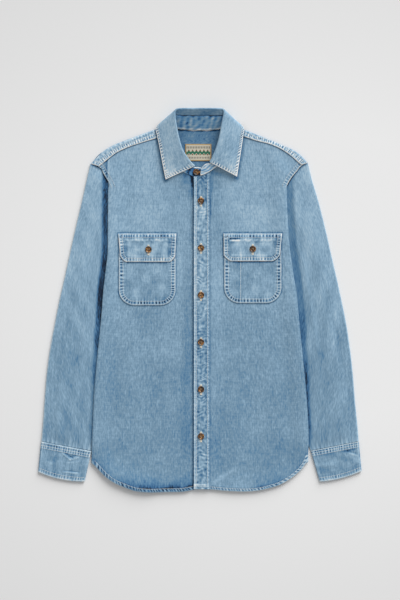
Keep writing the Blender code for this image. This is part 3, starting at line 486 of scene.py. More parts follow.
# shoulder fold, from the neck to the sleeve: out, y
SHOULDER = {
    -1: ((63.9, 374.4), (95, 362.6), (123.3, 352.2), (158, 339.2), (184, 328.9), (201.5, 319.0),
         (219, 303.4), (231.2, 290.4)),
    1: ((63.9, 374.4), (94.1, 362.0), (140.8, 343.2), (173.4, 329.4), (201.7, 316.4), (217, 304.2),
        (227.4, 292.4)),
}
# inside the neck point: share of the half neck, how far the cloth reaches past the fold
YOKE_NECK = ((0.0, -32.8), (0.25, -30.0), (0.44, -23.7), (0.75, -12.3), (0.90, -5.6), (0.96, 1.6),
             (0.985, 11.6))
# tone of the yoke's face, and of its back part that lies inside the neck: darker there, as unwashed indigo and
# as painted shade of the neck
YOKE_TONE, YOKE_BACK_TONE = 0.125, -0.23
YOKE_ROWS_MM = (2.0, 8.5)
ARM_ROWS_MM = (1.6, 9.0)


def reach_of(points):
    """How far along a line each of its points lies, as a share of its length."""
    reach = np.concatenate([[0], np.cumsum(np.linalg.norm(np.diff(points, axis=0), axis=1))])
    return reach / reach[-1]


def along(points, share):
    """Smooth curve through the points, read at shares of its length."""
    points = np.asarray(points, float)
    return through(reach_of(points), points, share)


def smooth_line(side, points, count=60):
    """A table's line on its own side of the shirt, as many short steps."""
    line = along(points, np.linspace(0, 1, count))[:, :2]
    return line * np.array([side, 1])


def from_line(place, line):
    """How far plan points lie from a line, and how far along it."""
    flat = np.asarray(place, float).reshape(-1, 2)
    best, at, before = np.full(len(flat), 1e9), np.zeros(len(flat)), 0.0
    for start, end in zip(line[:-1], line[1:]):
        ahead = end - start
        length = np.linalg.norm(ahead)
        t = np.clip((flat - start) @ ahead / length ** 2, 0, 1)
        far = np.linalg.norm(flat - start - t[:, None] * ahead, axis=1)
        closer = far < best
        best = np.where(closer, far, best)
        at = np.where(closer, before + t * length, at)
        before += length
    shape = np.shape(place)[:-1]
    return best.reshape(shape), at.reshape(shape)


def puckers(at, seed, period):
    """Count of the uneven puckers along a seam, which grows by one from each to the next."""
    rng = np.random.default_rng(seed)
    low, high = min(np.min(at), 0) - 2 * period, np.max(at) + 2 * period
    knots = low + period * np.cumsum(rng.uniform(0.65, 1.35, int((high - low) / period * 1.3) + 4))
    return np.interp(at, knots, np.arange(len(knots)))


def swelling(at, seed, period, share):
    """Strength of a seam's puckers, which grows and falls by a share over every few of them."""
    return 1 - share + share * np.sin(2 * math.pi * puckers(at, seed + 50, 4.6 * period))


def gathers(at, seed, period):
    """Height of the puckers along a seam, from -1 in a hollow to 1 on a ridge."""
    return swelling(at, seed, period, 0.3) * np.sin(2 * math.pi * puckers(at, seed, period))


def bump_at(value, place, width):
    """1 at a place, falling smoothly to 0 on both sides."""
    return np.exp(-((value - place) / width) ** 2)


def sewn(far, at, seed, rows, wear_and_shade=1.0, pucker=1.0, period=6.0, slant=0.0, reach=9.0, lift=0.3, only=1.0):
    """Marks of a topstitched edge, and how far it stands out. `far` is the distance from the edge, `rows`
    says where its first and last rows of stitches lie, and `only` is 1 where the edge has its marks."""
    first, last = rows
    place = np.interp(far, (0, first, last, last + reach), (0, 1, 2, 4))
    place = np.where((place < 4) & (only > 0.5), place, UNMARKED)
    along_seam = puckers(at + slant * far, seed, period)
    strong = pucker * swelling(at, seed, period, 0.25)
    spots, _, puckered = np.array(SEAM_PROFILE).T
    raised = lift * strong * np.sin(2 * math.pi * along_seam) * np.interp(place, spots, puckered)
    return np.dstack([place, along_seam, np.broadcast_to(wear_and_shade, place.shape), strong]), raised


def ripples(x, y, size, seed, stretch=1.0):
    """Soft uneven waves of about one size, long in y where stretched, mostly between -1 and 1."""
    rng = np.random.default_rng(seed)
    total = np.zeros(np.shape(x))
    waves = 9
    for _ in range(waves):
        angle, long = rng.uniform(0, math.pi), size * rng.uniform(0.7, 1.5)
        start = rng.uniform(0, 2 * math.pi)
        gone = (x * math.cos(angle) + y * math.sin(angle) / stretch) / long
        total = total + np.cos(2 * math.pi * gone + start)
    return total / math.sqrt(waves)


def bands(value, table):
    """Sum of soft bands: the place, width and strength of each."""
    return sum(strength * bump_at(value, place, width) for place, width, strength in table)


def yoke_edge(side):
    """The line of the yoke's front edge, which laps over its seam."""
    return smooth_line(side, YOKE_SEAM[side]) - np.array([0, YOKE_OVERLAP])


def yoke_path(side, share, inside, rows):
    """One line of the yoke's cloth, from the back yoke seam over the shoulder fold to its front edge.
    share runs along the shoulder; inside the neck point, `inside` is the share of the half neck.
    Rows 0 to 1 lie on the surface, 1 to 2 go round the fold and 2 to 3 lie on the front."""
    fold = along(SHOULDER[side], share)
    seam = along(YOKE_SEAM[side], share) - np.array([0, YOKE_OVERLAP])
    back_y = float(arm_y(side, YOKE_ARM_SHARE))
    neck_out = SHOULDER[side][0][0]
    back_out = mix(neck_out, armhole(side, back_y)[0] - HIDDEN_SEAM, share)
    if inside < 1:
        drop = seam - fold
        fold = np.array([neck_out * inside, fold[1] + NECK_FOLD_RISE * (1 - inside)])
        seam = fold + drop
        back_out = neck_out * inside
    start = np.array([back_out, back_y])
    ahead = unit(fold - start)
    turn = fold - ahead * SHOULDER_FOLD
    arc = math.pi * SHOULDER_FOLD / 2
    flat = np.linalg.norm(turn - start)
    rest = np.linalg.norm(seam - turn)
    whole = flat + 2 * arc + rest
    used = whole if inside == 1 else flat + arc + np.interp(inside, *np.array(YOKE_NECK).T)
    gone = np.interp(rows, (0, 1, 2, 3), (0, flat, flat + 2 * arc, whole)) * used / whole
    lying = start + ahead * np.minimum(gone, flat)[:, None]
    bend = armhole(side, lying[:, 1])[:, 0] - HIDDEN_SEAM - mix(back_out, fold[0], gone / flat)
    lying[:, 0] += bend * share ** 3 * step((1 - gone / flat) * 14)
    angle = np.clip((gone - flat - arc) / SHOULDER_FOLD, -math.pi / 2, math.pi / 2)
    round_fold = turn + ahead * SHOULDER_FOLD * np.cos(angle)[:, None]
    t = np.clip((gone - flat - 2 * arc) / rest, 0, 1)
    on_front = mix(turn, seam, t[:, None])
    z_fold = FLOOR + SHOULDER_FOLD * (1 + np.sin(angle))
    z_front = mix(FLOOR + 2 * SHOULDER_FOLD, YOKE_SEAM_Z, step(t))
    place = np.where((gone < flat)[:, None], lying, np.where((t > 0)[:, None], on_front, round_fold))
    z = np.where(gone < flat, FLOOR, np.where(t > 0, z_front, z_fold))
    return np.column_stack([side * place[:, 0], place[:, 1], z])


def yoke_grid():
    rows = np.concatenate([np.linspace(0, 0.9, 16), np.linspace(0.92, 1, 5)[:-1], np.linspace(1, 2, 9),
                           2 + places((0.8, 0.075), (1.0, 0.05))[1:]])
    inner = np.concatenate([np.linspace(0, 0.9, 20), np.linspace(0.915, 0.99, 6)])
    outer = places((1.0, 0.0118))
    columns = []
    for side in (-1, 1):
        half = [yoke_path(side, 0.0, place, rows) for place in inner if side > 0 or place > 0]
        half += [yoke_path(side, share, 1, rows) for share in outer]
        columns = half[::-1] + columns if side < 0 else columns + half
    return np.array(columns).transpose(1, 0, 2)


yoke_cloth = yoke_grid()
plan, sides = yoke_cloth[..., :2], np.sign(yoke_cloth[..., 0] + 1e-6)
on_top = step((yoke_cloth[..., 2] - 3.0) / 1.5)
yoke_fade, yoke_lift, yoke_seams = YOKE_TONE, 0.0, []
for side in (-1, 1):
    here = (sides == side) * on_top
    far, at = from_line(plan, yoke_edge(side))
    marks, lift = sewn(far, at, 11 + side, YOKE_ROWS_MM, pucker=1.6, period=4.6, only=here, lift=0.15)
    arm_far, arm_at = from_line(plan, smooth_line(side, ARMHOLE[side]))
    arm_marks, arm_lift = sewn(arm_far, arm_at, 15 + side, ARM_ROWS_MM, wear_and_shade=0.8, pucker=1.1, period=5.0,
                               only=here)
    fold_far, fold_at = from_line(plan, smooth_line(side, SHOULDER[side]))
    yoke_fade = yoke_fade + here * (0.1 * gathers(fold_at, 18 + side, 7.5) * bump_at(fold_far, 3, 5)
                                    + 0.13 * ripples(plan[..., 0], plan[..., 1], 7, 19 + side))
    yoke_lift = yoke_lift + lift + 0.6 * arm_lift
    yoke_seams += [marks, arm_marks]
yoke = cloth("shirt_yoke", "yoke", yoke_cloth, fade=mix(YOKE_BACK_TONE, yoke_fade, on_top),
             lift=yoke_lift * on_top, seams=yoke_seams, face=(-1, 0.95), reverse=YOKE_BACK_TONE)

# Fronts.
# Two panels of the same denim, curved at the hem into a shirt tail and turned under at the side
# folds. The narrow hem is rolled twice and stitched, and the wash has roped it.
FRONT_Z = 3.8
CREST_Z = 7.2
CREST_INSET = 7.0
CREST_WIDTH = 40.0
CREST_AT_HEM = 0.5
CREST_AT_YOKE = 0.25
CREST_FADE = 60.0
YOKE_FADE = 50.0
HOOK_BULGE = 2.0
HOOK_SHARES = (0.3, 0.7)
HEM_RISE = 2.2
HEM_FADE = 45.0
HEM_BAND = 9.0
HEM_EXTRA = 0.8
HEM_CORNER = 7.0
HEM_CORNER_FADE = 30.0
NECK_CENTRE_Y = 322.0
NECK_RADIUS = 68.0
NECK_RISE = 2.6
NECK_FADE = 34.0
NECK_SHARE = 0.42
SHOULDER_Y = 240.0
SHOULDER_RISE = 60.0
ARMHOLE_OPENS = (15.0, 50.0)
PLACKET_LEFT = -13.8
PLACKET_RIGHT = 19.7
UNDERLAP = 17.0
UNDER_Z = 2.4
UNDER_BLEND = (14.0, 12.0)
OVER_Z = 5.4
OVER_BLEND = (22.0, 26.0)
# neck edge of each front, tucked a little under the collar: out, y
NECK = {
    -1: ((-UNDERLAP, 263), (3, 262.5), (18, 264.5), (35, 274.5), (51.5, 292), (61.5, 318),
         (66, 343), (66.3, 352.5)),
    1: ((PLACKET_LEFT, 262.5), (0, 264.5), (17, 271.5), (35.5, 284), (52.5, 298.5), (61.5, 320),
        (66, 343), (66.3, 354.0)),
}
# broad folds of the fronts: out and y at one end, out and y at the other, width, height
FRONT_FOLDS = {
    -1: ((150, -60, 168, -330, 30, 0.7), (60, -120, 75, -390, 34, 0.5), (100, -150, 110, -330, 28, -0.6),
         (100, -414, 224, -356, 40, 3.0)),
    1: ((150, -70, 175, -320, 32, 0.7), (62, -200, 80, -395, 34, 0.6), (108, -120, 118, -320, 30, -0.6)),
}
# short creases of the fronts, in the same terms
FRONT_CREASES = {
    -1: ((199, 302, 199, 250, 4, -0.4), (128, 235, 170, 190, 9, 0.25), (60, -330, 95, -372, 8, 0.35),
         (185, -20, 200, -120, 8, -0.25)),
    1: ((25, -392, 79, -356, 8, 0.45), (60, -392, 96, -372, 5, 0.3), (120, 250, 165, 205, 10, 0.25),
        (188, 40, 204, -80, 8, -0.25)),
}
# places where the wash left the fronts darker or lighter, and painted shade in a crease by the shoulder, beside
# the placket and under the collar leaf: out and y at both ends, width, how far
FRONT_PATCHES_AND_SHADE = {
    -1: ((28, 110, 28, -320, 15, -0.09), (120, 180, 60, 60, 60, 0.03), (40, 240, 60, 150, 30, -0.04),
         (199, 302, 199, 250, 4, -0.3), (194, 300, 194, 252, 2.5, 0.18), (16, 268, 36, 264, 7, -0.2),
         (17, 266, 17, 222, 6, -0.2), (30, 266, 24, 214, 20, -0.09), (17, 274, 15, 240, 3.6, -0.42),
         (44, 276, 24, 248, 16, -0.14), (206, 288, 202, 246, 9, -0.03), (19, 236, 19, 120, 9, -0.1)),
    1: ((30, -290, 40, -372, 18, -0.06), (34, 190, 40, 60, 22, -0.05), (120, 200, 110, 150, 50, 0.04),
        (25, -392, 79, -356, 7, 0.1), (26, 274, 80, 255, 8, -0.16), (34, 275, 34, 200, 17, -0.1),
        (22, 232, 22, 176, 4, -0.25), (26, 278, 24, 232, 5, -0.2)),
}
HEM_ROW_MM = {-1: 7.2, 1: 5.8}
# the hem's puckers are wider apart towards its side corners: place along the hem, and where it counts as
HEM_PUCKERS = ((0.0, 0.0), (165.0, 165.0), (300.0, 254.0))
# how deep the cloth above the hem stayed blue, by place along the hem, and how far up that fades out
HEM_BLUE = {-1: ((100.0, 0.36), (120.0, 0.30), (165.0, 0.30), (200.0, 0.1)),
            1: ((95.0, 0.02), (125.0, 0.2), (165.0, 0.18), (190.0, 0.1))}
HEM_BLUE_UP = 13.0
# tone of the hem itself, and the pale band above the left one: how far up from it, width, how pale
HEM_TONE = {-1: -0.12, 1: 0.02}
PALE_ABOVE_HEM = ((12.0, 22.0, 0.04),)
# how deep the painted shadow line on each front under the yoke's edge is, and how wide
YOKE_EDGE_SHADE = {-1: 0.75, 1: 0.45}
YOKE_EDGE_SHADE_MM = 3.0
# where the armhole's stitches show on each front: from how far out and how high on
ARM_MARKS_FROM = {-1: 196.0, 1: 150.0}
ARM_MARKS_Y = 243.0


def ridge(x, y, fold):
    """Height of one long soft fold given by its two ends, width and height."""
    x0, y0, x1, y1, width, height = fold
    dx, dy = x1 - x0, y1 - y0
    t = ((x - x0) * dx + (y - y0) * dy) / (dx * dx + dy * dy)
    off = np.hypot(x - x0 - t * dx, y - y0 - t * dy) / width
    ends = step(t * 4 + 0.5) * step((1 - t) * 4 + 0.5)
    return height * np.exp(-2 * off * off) * ends


def seam_y(side, out):
    seam = np.array(YOKE_SEAM[side])
    return through(seam[:, 0], seam[:, 1], out)


def front_z(side, out, y):
    """Height of a front's middle surface."""
    z = np.full(np.shape(out), FRONT_Z)
    for fold in FRONT_FOLDS[side]:
        z = z + ridge(out, y, fold)
    above_hem = y - hem_y(side, out)
    crest = step((out - edge_out(side, y) + CREST_INSET + CREST_WIDTH) / CREST_WIDTH)
    below_yoke = step((seam_y(side, out) - y) / YOKE_FADE)
    grown = mix(CREST_AT_HEM, 1, step(above_hem / CREST_FADE)) * mix(CREST_AT_YOKE, 1, below_yoke)
    z = mix(z, CREST_Z, crest * grown)
    z = z + HEM_RISE * (1 - step(above_hem / HEM_FADE)) * (1 - crest)
    z = mix(FRONT_SEAM_Z, z, below_yoke)
    from_neck = np.hypot(out, y - NECK_CENTRE_Y) - NECK_RADIUS
    from_strip = step((out - sum(OVER_BLEND) / 2) / NECK_FADE)
    z = z + NECK_RISE * (1 - step(from_neck / NECK_FADE)) * from_strip * below_yoke
    low_z, blend = (UNDER_Z, UNDER_BLEND) if side < 0 else (OVER_Z, OVER_BLEND)
    return mix(low_z, z, step((out - blend[0]) / blend[1]))


def band_edges(side):
    """Out of the front's edge, and of the inner edge of the strip along it."""
    return (-UNDERLAP, -PLACKET_LEFT) if side < 0 else (PLACKET_LEFT, PLACKET_RIGHT)


def front_plan(side, level, across):
    """Plan of a front's top: level 0 is the hem and 1 the neck and yoke seam; across 0 is the centre
    front and 1 the crest beside the side fold. The strip along the centre front stays straight."""
    first, inner = band_edges(side)
    low_y, seam_end = HEM[side][-1][1], YOKE_SEAM[side][-2]
    width = edge_out(side, low_y) - CREST_INSET - first
    band = (inner - first) / width
    neck = along(NECK[side], np.linspace(0, 1, 25))
    line = np.concatenate([neck, along(YOKE_SEAM[side][:-1], np.linspace(0, 1, 25))[1:]])
    reach = reach_of(line)
    at_band = np.interp(inner, neck[:, 0], reach[:25])
    share = np.interp(across, (0, band, NECK_SHARE, 1), (0, at_band, reach[24], 1))
    top = np.stack([np.interp(share, reach, line[:, k]) for k in (0, 1)], -1)
    low_out = first + across * width
    low = np.stack([low_out, hem_y(side, low_out)], -1)
    middle = np.stack([np.full_like(level, first), mix(hem_y(side, first), neck[0, 1], level)], -1)
    crest_y = mix(low_y, seam_end[1], level)
    shoulder = step((crest_y - SHOULDER_Y) / SHOULDER_RISE)
    crest_out = mix(edge_out(side, crest_y) - CREST_INSET, seam_end[0], shoulder)
    crest = np.stack([crest_out, crest_y], -1)
    level, pull = level[..., None], (np.maximum(across - band, 0) / (1 - band))[..., None]
    corner_low = mix(np.array([first, hem_y(side, first)]), np.array([first + width, low_y]), pull)
    corner_top = mix(neck[0], np.array(seam_end), pull)
    return mix(low, top, level) + mix(middle, crest, pull) - mix(corner_low, corner_top, level)


def front_grid(side, levels, acrosses, hooks):
    """Middle surface of one front: its top, then the turn over the side fold to the seam under it."""
    level, across = np.meshgrid(levels, acrosses, indexing="ij")
    plan = front_plan(side, level, across)
    top = np.dstack([plan, front_z(side, plan[..., 0], plan[..., 1])])
    crest = top[:, -1]
    drop = YOKE_SEAM[side][-2][1] - ARMHOLE[side][1][1]
    end_y = crest[:, 1] - drop * step((crest[:, 1] - SHOULDER_Y) / SHOULDER_RISE)
    arm_out, arm_z = armhole(side, end_y).T
    sewn_in = end_y > UNDERARM_Y
    end_out = np.where(sewn_in, arm_out, edge_out(side, end_y) - HOOK_TUCK)
    end_z = np.where(sewn_in, np.maximum(HOOK_Z, arm_z + CLOTH + SEAM), hook_z(side, end_y))
    open_top = step((end_y - SHOULDER_Y + ARMHOLE_OPENS[0]) / ARMHOLE_OPENS[1])
    turn = edge_out(side, end_y) + HOOK_BULGE
    end = np.stack([end_out, end_y, end_z], -1)
    round_up = HEM_CORNER * (1 - step((crest[:, 1] - HEM[side][-1][1]) / HEM_CORNER_FADE))
    controls = []
    for share, closed_z in zip(HOOK_SHARES, (crest[:, 2], end_z)):
        out, y, z = mix(crest, end, share).T
        controls.append(np.stack([mix(turn, out, open_top), y + round_up, mix(closed_z, z, open_top)], -1))
    over, under = controls
    t = np.asarray(hooks)[None, :, None]
    hook = ((1 - t) ** 3 * crest[:, None] + 3 * t * (1 - t) ** 2 * over[:, None]
            + 3 * t * t * (1 - t) * under[:, None] + t ** 3 * end[:, None])
    grid = np.concatenate([top, hook], 1)
    grid[..., 0] *= side
    return grid


def wash(x, y):
    """The shirt's overall fade: lightest on the chest and deeper towards the hem."""
    return mix(-0.10, 0.01, step((y + 220) / 430)) + 0.022 * ripples(x, y, 95, 3, 1.8)


def drape(side, x, y):
    """Small unevenness of a front as it lies, and its short creases."""
    creases = sum(ridge(side * x, y, crease) for crease in FRONT_CREASES[side])
    return creases + 0.22 * ripples(x, y, 85, 20 + side, 1.6) + 0.06 * ripples(x, y, 24, 30 + side, 1.8)


length = NECK[1][0][1] - HEM[1][0][1]
front_levels = places((12, 1.3), (40, 2.2), (610, 3.2), (length, 2.0)) / length
fronts = {}
for side, word in ((-1, "right"), (1, "left")):
    first, inner = band_edges(side)
    width = edge_out(side, HEM[side][-1][1]) - CREST_INSET - first
    acrosses = places((inner - first, 1.5), (width - 30, 2.5), (width, 1.7)) / width
    hooks = np.linspace(0, 1, 15)[1:]
    grid = front_grid(side, front_levels, acrosses, hooks)
    x, y = grid[..., 0], grid[..., 1]
    on_top = np.concatenate([np.ones(len(acrosses)), 1 - step(hooks * 3)])[None, :]
    hem_far, hem_at = from_line(grid[..., :2], smooth_line(side, HEM[side], 90))
    uneven = np.interp(hem_at, *np.array(HEM_PUCKERS).T)
    hem_marks, lift = sewn(hem_far, uneven, 41 + side, (0.8, HEM_ROW_MM[side]), wear_and_shade=0.75,
                           pucker=1.35, period=6.1, slant=0.6 * side, reach=3, lift=0.12)
    above = (hem_far > HEM_ROW_MM[side]) * np.exp(-np.maximum(hem_far - HEM_ROW_MM[side], 0) / HEM_BLUE_UP)
    above = above * np.interp(hem_at - 20, *np.array(HEM_BLUE[side]).T)
    # blue above the hem, with the hem itself worn, and the patches over both
    fade = -above * (1 + 0.2 * ripples(x, y, 34, 43 + side)) + wash(x, y)
    fade = fade + (side > 0) * (hem_at < 125) * bands(hem_far, PALE_ABOVE_HEM)
    # the hem is painted lighter towards its side corners, as light where its slope turns from the lamp
    fade = fade + (HEM_TONE[side] + 0.08 * step((hem_at - 180) / 20)) * (hem_far < HEM_ROW_MM[side])
    arm_far, arm_at = from_line(grid[..., :2], smooth_line(side, ARMHOLE[side][:6]))
    near_arm = (y > ARM_MARKS_Y) * (side * x > ARM_MARKS_FROM[side]) * (arm_far < 16)
    arm_marks, arm_lift = sewn(arm_far, arm_at, 45 + side, ARM_ROWS_MM, period=5.2, reach=5, only=near_arm)
    yoke_far, _ = from_line(grid[..., :2], yoke_edge(side))
    yoke_shade_place = np.where(yoke_far < YOKE_EDGE_SHADE_MM, BESIDE_PIECE + yoke_far / YOKE_EDGE_SHADE_MM, UNMARKED)
    yoke_shade_marks = np.dstack([yoke_shade_place, 0 * x, 0 * x + YOKE_EDGE_SHADE[side], 0 * x])
    # painted shade in a crease by the shoulder, beside the placket and under the collar leaf is among the
    # patches; then painted shade along the side fold's edge below the shoulder, and a painted shadow line under
    # the yoke's edge
    fade = fade + sum(ridge(side * x, y, patch) for patch in FRONT_PATCHES_AND_SHADE[side])
    out_far = np.abs(side * x - edge_out(side, y))
    fade = fade - 0.05 * bump_at(out_far, 0, 2.0) * (y < 240) - 0.15 * bump_at(yoke_far, 1.3, 1.4)
    lift = (lift + arm_lift) * on_top
    grid = grid.copy()
    grid[..., 2] += drape(side, x, y) * on_top
    thick = CLOTH + HEM_EXTRA * (1 - np.clip((front_levels * length - HEM_BAND) / 2, 0, 1))[:, None]
    fronts[side] = cloth("shirt_front_" + word, "front_" + word, grid, thick=thick, fade=fade, lift=lift,
                         seams=(hem_marks, arm_marks, yoke_shade_marks), face=(60, 0.4),
                         weave=np.dstack([spans(grid, 1), y]))

# Button band and placket.
# A straight strip is sewn down each front's edge. The left one, the placket, lies on top and
# carries the buttonholes; both its edges are topstitched and puckered by the wash.
DOUBLED = 1.5
PLACKET_LEFT_ROW = 6.6
PLACKET_RIGHT_ROW = 3.8
# soft bands of tone down the placket: how far from its left or right edge, width, and how far it is
# whitened below and above the pockets. The dark band right at its left edge is a painted shadow line.
PLACKET_FROM_LEFT = ((2.4, 1.4, 0.34, 0.16), (0.0, 1.1, -0.3, -0.5), (PLACKET_LEFT_ROW, 1.2, 0.06, 0.06),
                     (PLACKET_LEFT_ROW + 2.4, 1.1, -0.16, -0.16))
PLACKET_FROM_RIGHT = ((2.5, 2.6, 0.01, -0.09), (PLACKET_RIGHT_ROW + 2.6, 1.3, -0.16, -0.16))
PLACKET_TONE = 0.01
PLACKET_HEM_MM = 10.0
# y of the placket's ends, and the shares of the front's height between which the button band lies
PLACKET_ENDS = (-404.0, 262.0)
BAND_SHARES = (0.016, 0.976)


def moved_out(grid, distance):
    """The same grid, moved along its normals to the side that faces up."""
    normal = normals_of(grid)
    if normal[..., 2].mean() < 0:
        normal = -normal
    return grid + normal * distance


def shade_and_indigo_beside(thing, line, how_far, wide=6.0):
    """Paints shade, with the cloth's unfaded blue, in a line on a piece beside the edge of another one that is
    sewn on it or covers it.
    """
    spots = np.zeros(3 * len(thing.data.vertices), np.float32)
    thing.data.vertices.foreach_get("co", spots)
    far, _ = from_line(spots.reshape(-1, 3)[:, :2] / MM, np.asarray(line, float))
    marks = {word: np.zeros(len(far), np.float32) for word in ("seam", "wear_and_shade")}
    for word, values in marks.items():
        thing.data.attributes[word].data.foreach_get("value", values)
    here = (far < wide) & ((marks["seam"] > 5.9) | (far < 0.35 * wide))
    for word, values in (("seam", BESIDE_PIECE + far / wide), ("wear_and_shade", how_far)):
        values = np.where(here, values, marks[word]).astype(np.float32)
        thing.data.attributes[word].data.foreach_set("value", values)


def strip_grid(side, levels):
    """The part of a front's middle surface under the strip along its edge."""
    first, inner = band_edges(side)
    width = edge_out(side, HEM[side][-1][1]) - CREST_INSET - first
    level, across = np.meshgrid(levels, places((inner - first, 1.4)) / width, indexing="ij")
    plan = front_plan(side, level, across)
    grid = np.dstack([plan, front_z(side, plan[..., 0], plan[..., 1])])
    grid[..., 0] *= side
    return grid


strip_levels = places((12, 1.3), (length - 12, 2.2), (length, 1.6)) / length
band_levels = strip_levels[(strip_levels > BAND_SHARES[0]) & (strip_levels < BAND_SHARES[1])]
band_grid = moved_out(strip_grid(-1, band_levels), CLOTH + SEAM)
button_band = cloth("shirt_button_band", "button_band", band_grid, fade=-0.08, face=(60, 0.5))

placket_base = strip_grid(1, strip_levels)
extra = HEM_EXTRA * (1 - np.clip((strip_levels * length - HEM_BAND) / 2, 0, 1))[:, None, None]
placket_grid = moved_out(placket_base, (CLOTH + extra) / 2 + SEAM + DOUBLED / 2)
x, y = placket_grid[..., 0], placket_grid[..., 1]
left, right = x - PLACKET_LEFT, PLACKET_RIGHT - x
up = y - y.min()
along_strip = puckers(up + 4.5 * ripples(x, y, 30, 64), 61, 7.4)
beside_left, beside_right = 1 - step((left - 5) / 3), 1 - step((right - PLACKET_RIGHT_ROW + 0.5) / 1.5)
between = (1 - beside_left) * step((right - PLACKET_RIGHT_ROW - 0.6) / 1.5)
strong = between * (0.28 + 0.3 * ripples(x, y, 26, 62)) + 0.25 * beside_left + 0.45 * beside_right
strip_marks = np.dstack([0 * x + 1.5, along_strip, 0 * x, strong])
high = step((y - 140) / 40)
fade = wash(x, y) + PLACKET_TONE
for far, tones in ((left, PLACKET_FROM_LEFT), (right, PLACKET_FROM_RIGHT)):
    fade = fade + sum(mix(low, top, high) * bump_at(far, place, width) for place, width, low, top in tones)
crumples = np.abs(ripples(x, y, 17, 65, 0.8)) + 0.6 * ripples(x, y, 9, 67)
wrinkled = 0.13 * (crumples - 0.75) + 0.08 * ripples(x, y, 9, 66, 5) + 0.04 * ripples(x, y, 5, 68, 0.9)
fade = fade + between * (wrinkled - 0.17 * step((y - 190) / 30)) + 0.05 * (1 - step((y - 150) / 60))
turned_hem = 1 - step((up - PLACKET_HEM_MM) / 2)
fade = fade + 0.12 * turned_hem + 0.16 * bump_at(up, PLACKET_HEM_MM, 1.3)
lift = 0.1 * between * (0.5 * np.sin(2 * math.pi * along_strip) + crumples)
lift = lift - 0.12 * bump_at(left, PLACKET_LEFT_ROW, 1.1)
lift = lift - 0.12 * bump_at(right, PLACKET_RIGHT_ROW, 1.1)
placket = cloth("shirt_placket", "placket", placket_grid, thick=DOUBLED, fade=fade, lift=lift,
                seams=[strip_marks], face=(60, 0.5), weave=placket_grid[..., :2])
# painted shadow lines on the fronts beside the placket's edges
shade_and_indigo_beside(fronts[1], [(PLACKET_RIGHT, end) for end in PLACKET_ENDS], 0.25)
shade_and_indigo_beside(fronts[-1], [(PLACKET_LEFT, end) for end in PLACKET_ENDS], 0.35, 4.0)

# Chest pockets.
# A patch pocket with round lower corners is double-stitched to each front, under a flap with cut
# corners that buttons down. A row of stitches parts a pen slot from the wearer's left pocket.
# near and far sides, y of the flap's top, the flap's bottom and the bag's bottom, the button's out and y
POCKET = {
    -1: (52.0, 172.7, 141.4, 81.0, -11.5, 109.6, 107.5),
    1: (51.4, 173.2, 141.4, 82.4, -6.8, 112.2, 108.6),
}
POCKET_CORNER = 33.0
# width and height of a flap's round corners, and how far its near and far sides lean in at them
FLAP_CORNER = {-1: (13.0, 12.5), 1: (18.0, 12.5)}
FLAP_TAPER = {-1: (2.2, 4.4), 1: (0.6, 5.0)}
FLAP_CORNER_POWER = 1.9
POCKET_LIFT = 0.15
FLAP_OVERHANG = 1.5
BAG_TOP_SHORT = 12.0
FLAP_RISE = 9.0
POCKET_ROWS_MM = (2.0, 8.8)
FLAP_ROWS_MM = (1.8, 8.2)
# the pen slot: x of its ends, its y, and how softly it ends
PEN_SLOT = (62.8, 85.6, 129.6)
SLOT_SOFT = 1.6
PEN_ROW_X = 86.5
# y of a flap's crease under its top, and x from which the puckers across it are counted
FLAP_CREASE_MM = 14.0
FLAP_RUN = 300.0
# soft bands of tone or height: place, width, strength. The bag's are counted in from its edge, and the
# pen row's to both sides of it; the slot's up from it, and a flap's in from its sides or up from its
# free edge
BAG_TONES = ((5.4, 2.4, -0.12), (9.5, 1.6, 0.06))
PEN_ROW_TONES, PEN_ROW_SINKS = ((0, 1.0, 0.2), (2.6, 1.3, -0.14)), ((0, 1.4, -0.14),)
SLOT_TONES, SLOT_LIFTS = ((-3.0, 1.5, 0.55), (0.6, 1.2, -0.75)), ((-2.6, 1.5, 0.45), (0.6, 1.0, -0.6))
FLAP_SIDE_TONES = {-1: ((6, 3, -0.1),), 1: ()}
FLAP_LOW_TONE = {-1: ((13, 2.4, 0.06),), 1: ((13, 2.4, 0.14),)}


def pocket_line(side, inset=0.0):
    """The pocket's side, round corner, bottom, corner and side, a distance inside its edge."""
    near, far, top, _, low, _, _ = POCKET[side]
    radius, low = POCKET_CORNER - inset, low + inset
    near, far = near + inset, far - inset
    turn = np.radians(np.linspace(0, 90, 13))
    first = np.column_stack([near + radius * (1 - np.cos(turn)), low + radius * (1 - np.sin(turn))])
    second = np.column_stack([far - radius * (1 - np.sin(turn)), low + radius * (1 - np.cos(turn))])
    ends = np.array([[near, top - BAG_TOP_SHORT]]), np.array([[far, top - BAG_TOP_SHORT]])
    return np.concatenate([ends[0], first, second, ends[1]]) * np.array([side, 1])


def beside(line, distance):
    """The line, moved to its left by a distance."""
    line = np.asarray(line, float)
    ahead = unit(np.gradient(line, axis=0))
    return line + distance * np.column_stack([-ahead[:, 1], ahead[:, 0]])


def flap_plan(side, across, rows):
    """Plan of a flap: across -1 is its near side and 1 its far side, row 0 is its free edge and 1 the top."""
    near, far, top, low, _, _, _ = POCKET[side]
    half = (far - near) / 2 + FLAP_OVERHANG
    wide, high = FLAP_CORNER[side]
    into = np.clip((np.abs(across) * half - (half - wide)) / wide, 0, 1)
    y = mix(low + high * into ** FLAP_CORNER_POWER, top, rows)
    taper = np.where(across < 0, *FLAP_TAPER[side]) * across
    out = (near + far) / 2 + across * half - taper * (top - y) / (top - low - high)
    return np.stack([side * out, y], -1)


def flap_line(side, inset=0.0):
    """The flap's side, round corner, bottom, corner and side, a distance inside its edge."""
    across = np.concatenate([[-1, -1, -1], np.linspace(-1, 1, 71), [1, 1, 1]])
    rows = np.concatenate([[1, 0.7, 0.35], np.zeros(71), [0.35, 0.7, 1]])
    return beside(flap_plan(side, across, rows), side * inset)


def flat_piece(name, node, grid, **more):
    return cloth(name, node, grid, face=(5, 0.5), weave=grid[..., :2] + np.array([7.0, 3.0]), **more)


